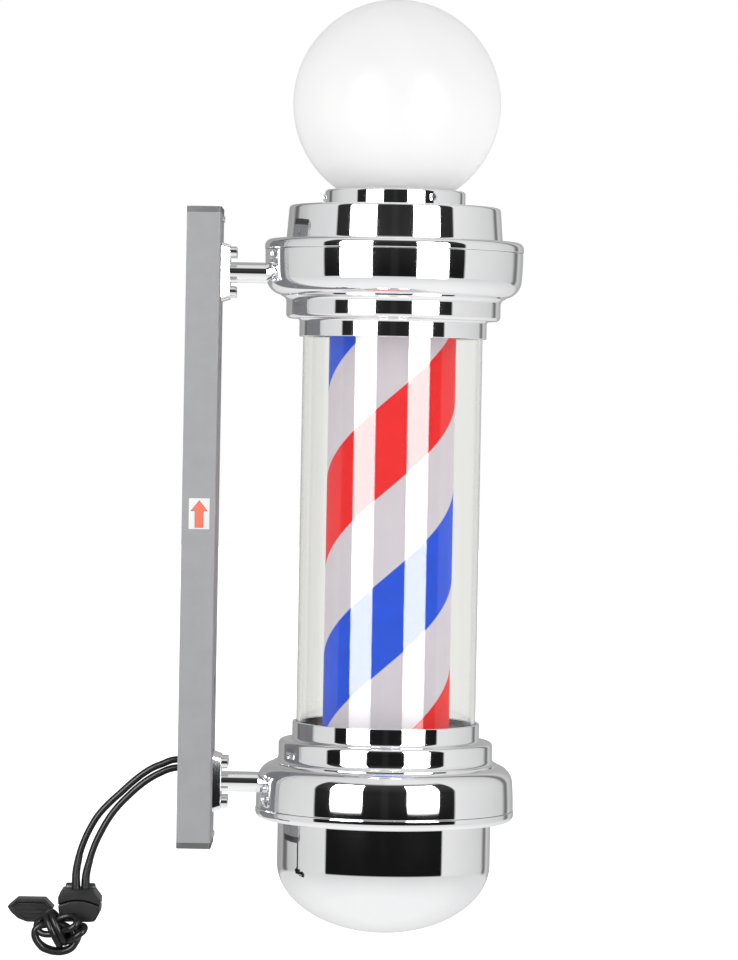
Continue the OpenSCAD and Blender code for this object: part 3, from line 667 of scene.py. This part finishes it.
def lead(name, points, diameter, radii=None):
    """A round lead that follows the points, as one smooth curve."""
    start_clear()
    bpy.ops.curve.primitive_bezier_curve_add()
    ob = bpy.context.object
    named(ob, name)
    ob.data.splines.clear()
    spline = ob.data.splines.new("BEZIER")
    spline.bezier_points.add(len(points) - 1)
    for knot, point, radius in zip(spline.bezier_points, points, radii or [1] * len(points)):
        knot.co = Vector(point) * MM
        knot.radius = radius
        knot.handle_left_type = "AUTO"
        knot.handle_right_type = "AUTO"
    ob.data.dimensions = "3D"
    ob.data.resolution_u = 6
    ob.data.render_resolution_u = 6
    ob.data.bevel_depth = diameter / 2
    ob.data.bevel_resolution = 5
    ob.data.use_fill_caps = True
    return ob


def run_length(points):
    """Length along the points, in their own unit."""
    return sum((Vector(b) - Vector(a)).length for a, b in zip(points, points[1:]))


class BARBER_OT_leads(bpy.types.Operator):
    """Lay the two lamp leads and the mains lead with its tied bundle"""

    bl_idname = "barber.leads"
    bl_label = "Leads"

    def execute(self, context):
        d = sizes().lead_d
        for name, node, route in (("light_flex", "light_lead", LIGHT_ROUTE),
                                  ("motor_flex", "motor_lead", MOTOR_ROUTE)):
            flex = lead(name, route, d)
            place(flex, "cord", node)
        path = mains_path()
        flex = lead("mains_flex", path, d)
        place(flex, "cord", "mains_lead", "mains_hank", "mains_tail")
        return {"FINISHED"}


# -------- operators: black fittings


def seam_arch(shift):
    """The arched seam between the switch box's halves, from right to left."""
    return [(-57 - 31.5 * i / 8, -287.6 + shift + 6.2 * math.sin(math.radians(20 + 17 * i)))
            for i in range(9)]


class BARBER_OT_switch_box(bpy.types.Operator):
    """Mould the in-line switch box with its two rockers"""

    bl_idname = "barber.switch_box"
    bl_label = "Switch box"

    def execute(self, context):
        upper = prism("switch_upper", [
            (-86.6, -274.3), (-84.4, -273.5), (-62.0, -273.5), (-60.2, -276.0),
            (-56.9, -280.4),
        ] + seam_arch(0.25) + [(-88.6, -279.2)], -12.6, 12.8)
        soften(upper, 0.9, 3)
        wide, deep = 3.5, 4.3
        pocketed(upper, *[((x - wide, ROCKER_Y - deep, -279.9),
                           (x + wide, ROCKER_Y + deep, -270.0))
                          for *_, x in ROCKERS])
        polish(upper)
        place(upper, "black_plastic", "switch_top")
        lower = prism("switch_lower", seam_arch(-0.25) + [
            (-87.6, -291.5), (-85.6, -296.9), (-83.0, -297.5), (-64.5, -297.5),
            (-60.4, -296.4), (-57.4, -290.8),
        ], -13.0, 13.0)
        soften(lower, 1.0, 3)
        polish(lower)
        place(lower, "black_plastic", "switch_bottom")
        for rocker in ROCKERS:
            self.key(*rocker)
        return {"FINISHED"}

    def key(self, name, body, node, x):
        """One rocker: a domed key on its stem and pivot."""
        dome = [(3.5 * math.cos(math.radians(a)), -273.6 + 3.3 * math.sin(math.radians(a)))
                for a in range(0, 181, 20)]
        top = prism(name, [(ROCKER_Y + y, z) for y, z in dome] + [(3.5, -275.4), (10.5, -275.4)],
                    x - 3.2, x + 3.2, along="x")
        soften(top, 1.4, 4, 40)
        stem = prism(name + "_stem", [(5.2, -275.5), (8.8, -275.5), (8.8, -279.3), (5.2, -279.3)],
                     x - 2.4, x + 2.4, along="x")
        soften(stem, 0.3, 2)
        pin = turned(name + "_pin", [(0, x - 4), (1.0, x - 4), (1.2, x - 3.8), (1.2, x + 3.8),
                                     (1.0, x + 4), (0, x + 4)],
                     axis_at=(0, ROCKER_Y, -277.5), axis=(1, 0, 0), steps=24)
        place(joined(name, top, stem, pin), "rocker_grey", node, body=body)


class BARBER_OT_plug(bpy.types.Operator):
    """Mould the plug with its ribs and two sleeved pins"""

    bl_idname = "barber.plug"
    bl_label = "Plug"

    def execute(self, context):
        shell = prism("plug_shell", [
            (-127.3, -288.2), (-120.4, -282.2), (-99.4, -282.2), (-92.9, -288.8),
            (-98.6, -299.4), (-112.5, -299.4), (-119.0, -297.0), (-124.4, -292.4),
        ], -2.0, 16.0)
        choose(shell, "FACE", lambda face: face.normal.y < -0.9)
        bpy.ops.mesh.inset(thickness=2.6 * MM, depth=0)
        bpy.ops.mesh.extrude_region_move(TRANSFORM_OT_translate={"value": (0, 1.0 * MM, 0)})
        outward()
        soften(shell, 0.7, 3)
        ribs = []
        for height, left, right in ((-286.0, -119.5, -100.5), (-289.2, -121.5, -98.5),
                                    (-292.4, -119.0, -100.5)):
            rib = prism("plug_rib", [(left, height - 0.8), (right, height - 0.8),
                                     (right - 1, height + 0.8), (left + 1, height + 0.8)],
                        -1.9, -0.4)
            soften(rib, 0.4, 3)
            ribs.append(rib)
        place(joined("plug_shell", shell, *ribs), "black_plastic", "plug_body")
        prongs = []
        middle, spread = -110, 9.3
        for side in (-1, 1):
            outline = [(0, 10.1), (1.9, 10.1), (1.9, 25.9), (2.0, 26.0)]
            outline += arc(0, 33.0, 2.0, 0, 90, 6)
            prongs.append(turned("prong", outline, axis=(0, 1, 0), steps=32,
                                 axis_at=(middle + side * spread, 0, -289)))
        place(joined("plug_prongs", *prongs), "pin_brass", "plug_pins")
        return {"FINISHED"}


class BARBER_OT_reliefs(bpy.types.Operator):
    """Turn the tapered sleeves where the leads leave the switch box and the plug"""

    bl_idname = "barber.reliefs"
    bl_label = "Strain reliefs"

    def execute(self, context):
        routes = (("light_relief", LIGHT_ROUTE[::-1]), ("motor_relief", MOTOR_ROUTE[::-1]),
                  ("mains_relief", MAINS_START), ("plug_relief", MAINS_END[::-1]))
        for name, route in routes:
            radii = self.radii(route)
            place(lead(name, route[:len(radii)], 2 * MM, radii), "black_plastic")
        return {"FINISHED"}

    def radii(self, route):
        """Thick at the housing and close to the sheath at the far end, 20 mm away."""
        thick, thin, reach = 3.4, 2.75, 20.0
        runs = [run_length(route[:i + 1]) for i in range(len(route))]
        kept = sum(run < reach for run in runs) + 1
        return [max(thin, thick - (thick - thin) * run / reach) for run in runs[:kept]]


# -------- operators: chromed pieces


def swelled(radius, low, high, swell, count=8):
    """A pressed wall that stands in a little at the foot and swells to its full radius."""
    return [(radius - swell * (1 - i / count) ** 2, low + (high - low) * i / count)
            for i in range(count + 1)]


def ring_outline():
    """Section of an end ring: collar, rounded step, rounded shoulder and wall."""
    edge = sizes().edge_round / MM
    swell = sizes().wall_swell / MM
    play, sheet = 0.3, 3
    bore = TUBE_R + play
    collar = bore + 2.65
    step = collar + 10.1
    step_z = COLLAR_Z + 13.5
    shoulder_z = step_z + 16.5
    shoulder, fillet, cove, bead = 15, 4.5, 2.5, 3.4
    wall_z = shoulder_z + shoulder
    centre = RING_R - shoulder
    across = step + fillet - centre
    drop = math.sqrt((shoulder + fillet) ** 2 - across ** 2)
    lean = math.degrees(math.atan2(drop, across))
    outside = arc(bore + edge, COLLAR_Z + edge, edge, 180, 270, 4)
    outside += arc(collar - edge, COLLAR_Z + edge, edge, -90, 0, 5)
    outside += arc(collar + cove, step_z - cove, cove, 180, 90, 8)
    outside += arc(step - bead, step_z + bead, bead, -90, 0, 10)
    outside += arc(step + fillet, wall_z - drop, fillet, 180, 180 - lean, 10)
    outside += arc(centre, wall_z, shoulder - swell, -lean, -4, 22)
    outside += swelled(RING_R, wall_z, SEAM_Z - edge, swell)
    outside += arc(RING_R - edge, SEAM_Z - edge, edge, 0, 90, 4)
    inside = [(RING_R - sheet, SEAM_Z)]
    inside += arc(centre, wall_z, shoulder - sheet, 0, -90, 10)
    hole, floor, seat = 60, TUBE_TOP + 5.5, TUBE_TOP + 2
    inside += [(step - sheet, shoulder_z + sheet), (step - sheet, floor), (hole, floor),
               (hole, seat), (bore, seat)]
    return outside + inside


def lip_outline():
    """The rolled lip that covers the seam of the cap and the bowl."""
    edge, roll = 0.7, 5
    return (arc(LIP_R - edge, SEAM_Z + LIP_GAP + edge, edge, -90, 0, 4)
            + arc(LIP_R - roll, LIP_TOP - roll, roll, 0, 90, 12))


def spigot_outline():
    """Inside of the lip, down the spigot that centres it in the ring."""
    outer = RING_R - 3.3
    inner = outer - 2
    foot = SEAM_Z - 5.5
    return [(inner, LIP_TOP - LIP_WALL), (inner, foot), (outer, foot),
            (outer, SEAM_Z + LIP_GAP)]


class BARBER_OT_rings(bpy.types.Operator):
    """Turn the two chromed end rings"""

    bl_idname = "barber.rings"
    bl_label = "End rings"

    def execute(self, context):
        outline = ring_outline()
        place(turned("upper_ring_shell", outline), "chrome", "upper_ring")
        place(turned("lower_ring_shell", upside_down(outline)), "chrome", "lower_ring")
        return {"FINISHED"}


class BARBER_OT_cap(bpy.types.Operator):
    """Turn the chromed top cap and the gallery that holds the globe"""

    bl_idname = "barber.cap"
    bl_label = "Top cap and gallery"

    def execute(self, context):
        outline = lip_outline() + arc(81 + 1.0, LIP_TOP + 1.0, 1.0, 270, 180, 5)
        outline += [(80.3, LIP_TOP + 9), (79.3, CAP_TOP - 3)]
        outline += arc(79.2 - 2.5, CAP_TOP - 2.5, 2.5, 0, 90, 8)
        outline += [(GALLERY_BORE, CAP_TOP), (GALLERY_BORE, CAP_TOP - 2.5),
                    (76.4, CAP_TOP - 2.5), (78.6, LIP_TOP - LIP_WALL)]
        outline += spigot_outline()
        place(turned("top_cap_shell", outline), "chrome", "top_cap")
        ring = [(GALLERY_BORE, CAP_TOP), (51.9, CAP_TOP)]
        ring += arc(51.9, CAP_TOP + 0.6, 0.6, -90, 0, 3)
        ring += arc(50.5, GALLERY_TOP - 2, 2, 0, 90, 8)
        ring += arc(46.1, GALLERY_TOP - 0.6, 0.6, 90, 180, 3)
        place(turned("gallery_ring", ring), "chrome", "gallery")
        screws = []
        for bearing in (-58, 62, 182):
            out = Vector((math.cos(math.radians(bearing)), math.sin(math.radians(bearing)), 0))
            middle = Vector((POLE_X, 0, (CAP_TOP + GALLERY_TOP) / 2))
            profile = [(0, 44.4), (1.9, 44.4), (1.9, 52.2), (2.9, 52.2), (2.9, 53.4)]
            profile += arc(2.4, 53.4, 0.5, 0, 90, 4) + [(1.2, 53.9), (1.2, 53.0), (0, 53.0)]
            screws.append(turned("gallery_screw", profile, axis_at=middle, axis=out, steps=32))
        place(joined("gallery_screws", *screws), "chrome_screws", "globe_set_screws")
        return {"FINISHED"}


class BARBER_OT_bowl(bpy.types.Operator):
    """Turn the chromed bowl"""

    bl_idname = "barber.bowl"
    bl_label = "Bowl"

    def execute(self, context):
        wall_r = 80.0
        sheet = 2
        dome_z = 250.0
        depth = -BOWL_FOOT - dome_z
        count = 36
        angles = [math.pi / 2 * i / count for i in range(count + 1)]

        def dome(thinner):
            return [((wall_r - thinner) * math.cos(angle),
                     dome_z + (depth - thinner) * math.sin(angle)) for angle in angles]

        outline = lip_outline() + arc(wall_r + 1.0, LIP_TOP + 1.0, 1.0, 270, 180, 5)
        outline += [(wall_r, LIP_TOP + 12)] + dome(0) + dome(sheet)[::-1]
        outline += [(wall_r - sheet, LIP_TOP - LIP_WALL)] + spigot_outline()
        place(turned("bowl_shell", upside_down(outline)), "chrome", "bowl")
        return {"FINISHED"}


class BARBER_OT_arms(bpy.types.Operator):
    """Turn the arms and cut the two flanges"""

    bl_idname = "barber.arms"
    bl_label = "Arms and flanges"

    def execute(self, context):
        arm_low, arm_high = (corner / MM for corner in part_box("arms"))
        radius = arm_high.y
        height = arm_high.z - radius
        arms = []
        plates = []
        for side in (-1, 1):
            outline = [(4.5, arm_low.x), (radius, arm_low.x), (radius, arm_high.x),
                       (4.5, arm_high.x)]
            arms.append(turned("arm", outline, axis_at=(0, 0, side * height),
                               axis=(1, 0, 0), steps=72))
            plates.append(self.plate(side * height))
        place(joined("arm_tubes", *arms), "chrome", "arms")
        place(joined("flange_plates", *plates), "chrome", "flanges")
        return {"FINISHED"}

    def plate(self, middle):
        """One flange: a block with rounded corners and eased edges."""
        half = FLANGE_HIGH.y
        tall = FLANGE_HIGH.z - abs(middle)
        thick = FLANGE_HIGH.x - FLANGE_LOW.x
        foot = 0.4
        start_clear()
        bpy.ops.mesh.primitive_cube_add(
            size=1, location=Vector((FLANGE_LOW.x + foot / 2, 0, middle)) * MM,
            scale=Vector((foot, 2 * half, 2 * tall)) * MM)
        ob = bpy.context.object
        ob.name = "flange"
        settle(ob)
        choose(ob, "FACE", lambda face: face.normal.x > 0.9)
        bpy.ops.mesh.inset(thickness=1.8 * MM, depth=(thick - foot) * MM)
        mode("OBJECT")
        corners = [vertex.co for vertex in ob.data.vertices]
        choose(ob, "EDGE", lambda edge: abs(
            (corners[edge.vertices[0]] - corners[edge.vertices[1]]).x) > 0.1 * MM)
        bpy.ops.mesh.bevel(offset=3.6 * MM, segments=6, affect="EDGES")
        outward()
        soften(ob, 0.5, 3)
        return ob


# -------- operators: glass and drum


class BARBER_OT_tube(bpy.types.Operator):
    """Draw the clear tube and the striped drum inside it"""

    bl_idname = "barber.tube"
    bl_label = "Tube and drum"

    def execute(self, context):
        wall = 2.75
        outline = [(TUBE_R, -TUBE_TOP), (TUBE_R, TUBE_TOP), (TUBE_R - wall, TUBE_TOP),
                   (TUBE_R - wall, -TUBE_TOP)]
        tube = turned("clear_sleeve", outline, steps=192)
        hide_from(tube, "shadow")
        place(tube, "clear_tube", "outer_tube")
        inner = DRUM_R - 0.8
        film = turned("stripe_sleeve", [(DRUM_R, DRUM_LOW.z), (DRUM_R, DRUM_HIGH.z),
                                        (inner, DRUM_HIGH.z), (inner, DRUM_LOW.z)], steps=192)
        place(film, "drum_film", "striped_drum", body="drum")
        return {"FINISHED"}


class BARBER_OT_globe(bpy.types.Operator):
    """Blow the opal globe"""

    bl_idname = "barber.globe"
    bl_label = "Globe"

    def execute(self, context):
        centre = GLOBE_TOP - GLOBE_R
        neck = 43.5
        wall = 2.5
        foot = CAP_TOP + 2
        start = -math.degrees(math.acos(neck / GLOBE_R))
        inner_start = -math.degrees(math.acos((neck - wall) / (GLOBE_R - wall)))
        outline = [(neck, foot)] + arc(0, centre, GLOBE_R, start, 90, 56)
        outline += arc(0, centre, GLOBE_R - wall, 90, inner_start, 56) + [(neck - wall, foot)]
        place(turned("opal_ball", outline), "opal_globe", "globe")
        return {"FINISHED"}


class BARBER_OT_sticker(bpy.types.Operator):
    """Lay the sticker with its up arrow on the bracket"""

    bl_idname = "barber.sticker"
    bl_label = "Arrow sticker"

    def execute(self, context):
        low, high = STICKER_LOW, STICKER_HIGH
        card = prism("sticker_card", [(low.x, low.z), (high.x, low.z), (high.x, high.z),
                                      (low.x, high.z)], low.y + 0.06, high.y)
        soften(card, 0.08, 2)
        polish(card)
        place(card, "sticker", "arrow_sticker")
        middle = (low.x + high.x) / 2
        for name, grow, front, finish_name in (("arrow_edge", 0.45, 0.03, "arrow_line"),
                                               ("arrow_print", 0.0, 0.0, "arrow_ink")):
            mark = prism(name, self.arrow(middle, grow), low.y + front, low.y + 0.06)
            polish(mark)
            place(mark, "sticker", finish=finish_name)
        return {"FINISHED"}

    def arrow(self, x, grow):
        tip, shoulder, foot = 20.0, 12.9, 0.6
        head, shaft = 5.8, 2.8
        return [(x, tip + 1.4 * grow), (x + head + 1.6 * grow, shoulder - grow),
                (x + shaft + grow, shoulder - grow), (x + shaft + grow, foot - grow),
                (x - shaft - grow, foot - grow), (x - shaft - grow, shoulder - grow),
                (x - head - 1.6 * grow, shoulder - grow)]


class BARBER_OT_carried(bpy.types.Operator):
    """Give each carried-over piece of the frame its finish"""

    bl_idname = "barber.carried"
    bl_label = "Frame finishes"

    def execute(self, context):
        for ob in NODES.values():
            if ob.hide_render:
                continue
            for holder in ob.material_slots:
                slot = holder.material.name.split(".")[0]
                if slot.endswith("_finish"):
                    continue
                holder.material = slot_material(slot)
        return {"FINISHED"}


# -------- operator: stage


class BARBER_OT_stage(bpy.types.Operator):
    """Set the pale floor and the soft studio light"""

    bl_idname = "barber.stage"
    bl_label = "Stage"

    def execute(self, context):
        self.floor()
        for side in (-1, 1):
            self.softbox(side)
        self.light()
        return {"FINISHED"}

    def floor(self):
        start_clear()
        bpy.ops.mesh.primitive_plane_add(size=24, location=(0.14, 4.0, -0.62))
        floor = bpy.context.object
        floor.name = "studio_floor"
        settle(floor)
        floor.data.materials.append(made("studio_paper", self.paper))
        hide_from(floor, "glossy", "transmission")

    def paper(self, tree, shader):
        """White paper, lifted a little where the camera sees it directly."""
        paths = added(tree, "LightPath")
        lift = times(tree, paths.outputs["Is Camera Ray"], 0.35)
        feed(tree, shader, {
            "Base Color": blended(tree, noise(tree, 3, 2.0), grey(0.93), grey(0.95)),
            "Roughness": 0.9, "Specular IOR Level": 0.0, "Emission Color": grey(1),
            "Emission Strength": maths(tree, "ADD", lift, 0.36)})

    def softbox(self, side):
        """A tall softbox that only polished pieces see, beside the camera."""
        bearing = math.radians(33.75) * side
        away = 1.6
        low, high, width = -0.33, 1.1, 0.85
        place_at = (POLE_X * MM + away * math.sin(bearing), -away * math.cos(bearing), 0)
        start_clear()
        bpy.ops.mesh.primitive_plane_add(size=1, location=place_at,
                                         rotation=(math.pi / 2, 0, bearing))
        panel = bpy.context.object
        panel.name = "softbox_right" if side > 0 else "softbox_left"
        panel.scale = (width, high - low, 1)
        panel.location.z = (low + high) / 2
        panel.data.materials.append(made("softbox_cloth", self.cloth))
        hide_from(panel, "camera", "diffuse", "transmission", "shadow")

    def cloth(self, tree, shader):
        """Bright in the middle and softer at its rim; dark to light off a dull surface."""
        parts = added(tree, "SeparateXYZ", {"Vector": added(tree, "TexCoord").outputs["UV"]})
        fall = []
        for axis, soft in (("X", 0.05), ("Y", 0.07)):
            out = maths(tree, "ABSOLUTE", minus(tree, parts.outputs[axis], 0.5))
            fall.append(maths(tree, "POWER", over(tree, minus(tree, 0.5, out), soft, True), 2.0))
        level = times(tree, *fall)
        depth = added(tree, "LightPath").outputs["Diffuse Depth"]
        dulled = maths(tree, "MINIMUM", depth, 1.0)
        feed(tree, shader, {
            "Base Color": grey(0), "Specular IOR Level": 0.0,
            "Emission Color": blended(tree, level, grey(0), grey(1)),
            "Emission Strength": times(tree, minus(tree, 1.0, dulled), SOFTBOX_POWER)})

    def light(self):
        """A room for each kind of ray: polished, see-through, camera and all others."""
        world = bpy.data.worlds.new("studio_light")
        bpy.context.scene.world = world
        world.use_nodes = True
        tree = world.node_tree
        tree.nodes.clear()
        paths = added(tree, "LightPath")
        bearing, height = self.directions(tree)
        mirrored, seen, through, plain_white = (
            added(tree, "Background", {"Color": tone}).outputs[0]
            for tone in (self.mirrored(tree, bearing, height), self.glow(tree, bearing, height),
                         (0.86, 0.86, 0.835, 1), grey(1)))
        for ray, shader in (("Is Glossy Ray", mirrored), ("Is Transmission Ray", through),
                            ("Is Camera Ray", plain_white)):
            seen = added(tree, "MixShader",
                         {0: paths.outputs[ray], 1: seen, 2: shader}).outputs[0]
        added(tree, "OutputWorld", {"Surface": seen})

    def directions(self, tree):
        """Bearing from the camera's side, right positive, and height, both in degrees."""
        way = added(tree, "TexCoord").outputs["Generated"]
        parts = added(tree, "SeparateXYZ", {"Vector": way})
        ahead = times(tree, parts.outputs["Y"], -1.0)
        degree = 180 / math.pi
        return (times(tree, maths(tree, "ARCTAN2", parts.outputs["X"], ahead), degree),
                times(tree, maths(tree, "ARCSINE", parts.outputs["Z"]), degree))

    def between(self, tree, value, low, high, soft):
        """1 from low to high, with soft edges in degrees."""
        return times(tree, over(tree, minus(tree, value, low - soft / 2), soft, True),
                     over(tree, minus(tree, high + soft / 2, value), soft, True))

    def window(self, tree, turn, across, height, tall):
        """1 inside a window; across and tall are each low, high and softness in degrees."""
        return times(tree, self.between(tree, turn, *across),
                     self.between(tree, height, *tall))

    def ramp(self, tree, value, stops):
        """A grey that follows the value through (value, grey) stops."""
        low, high = stops[0][0], stops[-1][0]
        node = added(tree, "ValToRGB", {"Fac": spanned(tree, value, 0, 1, low, high)})
        marks = node.color_ramp.elements
        while len(marks) < len(stops):
            marks.new(0.5)
        for mark, (at, level) in zip(marks, stops):
            mark.position = (at - low) / (high - low)
            mark.color = grey(level)
        return node.outputs["Color"]

    def mirrored(self, tree, bearing, height):
        """The room in polished metal: pale walls, dark cloth in front and a pale floor."""
        turn = maths(tree, "ABSOLUTE", bearing)
        left = self.ramp(tree, turn, [
            (60, 0.78), (92, 0.72), (106, 0.66), (114, 0.58), (126, 0.52), (131, 0.16),
            (137, 0.14), (143, 0.42), (160, 0.36), (180, 0.42)])
        right = self.ramp(tree, turn, [
            (60, 0.85), (86, 0.78), (100, 0.74), (122, 0.67), (131, 0.62), (137, 0.20),
            (141, 0.18), (147, 0.60), (160, 0.46), (180, 0.42)])
        walls = blended(tree, maths(tree, "GREATER_THAN", bearing, 0.0), left, right)
        streak = self.window(tree, turn, (-9, 3.4, 3.0), height, (-6.2, 30, 1.0))
        cloth = self.ramp(tree, height, [(-10, 0.006), (-5, 0.010), (0, 0.017), (6, 0.022),
                                         (40, 0.05)])
        cloth = blended(tree, times(tree, streak, 0.10), cloth, grey(0.10))
        front = self.window(tree, turn, (-10, 65.5, 2.0), height, (-80, 48, 10.0))
        above = blended(tree, front, walls, cloth)
        below = self.ramp(tree, height, [(-90, 0.97), (-60, 0.96), (-35, 0.86), (-20, 0.77),
                                         (-11, 0.72)])
        floor = over(tree, minus(tree, -10.0, height), 2.5, True)
        return blended(tree, floor, above, below)

    def glow(self, tree, bearing, height):
        """The room as dull surfaces see it: even walls, a dark front and two softboxes."""
        turn = maths(tree, "ABSOLUTE", bearing)
        walls = self.ramp(tree, height, [(-90, 0.62), (0, 0.60), (40, 0.64), (90, 0.72)])
        front = self.window(tree, turn, (-10, 66, 10.0), height, (-46, 40, 10.0))
        boxes = self.window(tree, turn, (19, 48.5, 3.0), height, (-3, 36, 3.0))
        return blended(tree, boxes, blended(tree, front, walls, grey(0.28)), grey(1.95))


# -------- panel and registration


class BARBER_PT_panel(bpy.types.Panel):
    """The light's builders, in the order they run"""

    bl_idname = "BARBER_PT_panel"
    bl_label = "Barber pole light"
    bl_space_type = "VIEW_3D"
    bl_region_type = "UI"
    bl_category = "Barber pole"

    def draw(self, context):
        for name in PoleSizes.__annotations__:
            self.layout.prop(context.scene.barber_sizes, name)
        for name in PoleColours.__annotations__:
            self.layout.prop(context.scene.barber_colours, name)
        for operator in BUILDERS:
            self.layout.operator(operator.bl_idname)


BUILDERS = (
    BARBER_OT_camera, BARBER_OT_plug, BARBER_OT_leads, BARBER_OT_switch_box,
    BARBER_OT_reliefs, BARBER_OT_rings, BARBER_OT_cap, BARBER_OT_bowl, BARBER_OT_arms,
    BARBER_OT_tube, BARBER_OT_globe, BARBER_OT_sticker, BARBER_OT_carried, BARBER_OT_stage,
)
CLASSES = (PoleSizes, PoleColours) + BUILDERS + (BARBER_PT_panel,)


def register():
    for cls in CLASSES:
        bpy.utils.register_class(cls)
    bpy.types.Scene.barber_sizes = bpy.props.PointerProperty(type=PoleSizes)
    bpy.types.Scene.barber_colours = bpy.props.PointerProperty(type=PoleColours)


def unregister():
    del bpy.types.Scene.barber_colours
    del bpy.types.Scene.barber_sizes
    for cls in reversed(CLASSES):
        bpy.utils.unregister_class(cls)


def main():
    register()
    bpy.ops.barber.camera()
    bpy.ops.barber.plug()
    bpy.ops.barber.leads()
    bpy.ops.barber.switch_box()
    bpy.ops.barber.reliefs()
    bpy.ops.barber.rings()
    bpy.ops.barber.cap()
    bpy.ops.barber.bowl()
    bpy.ops.barber.arms()
    bpy.ops.barber.tube()
    bpy.ops.barber.globe()
    bpy.ops.barber.sticker()
    bpy.ops.barber.carried()
    bpy.ops.barber.stage()


if __name__ == "__main__":
    main()
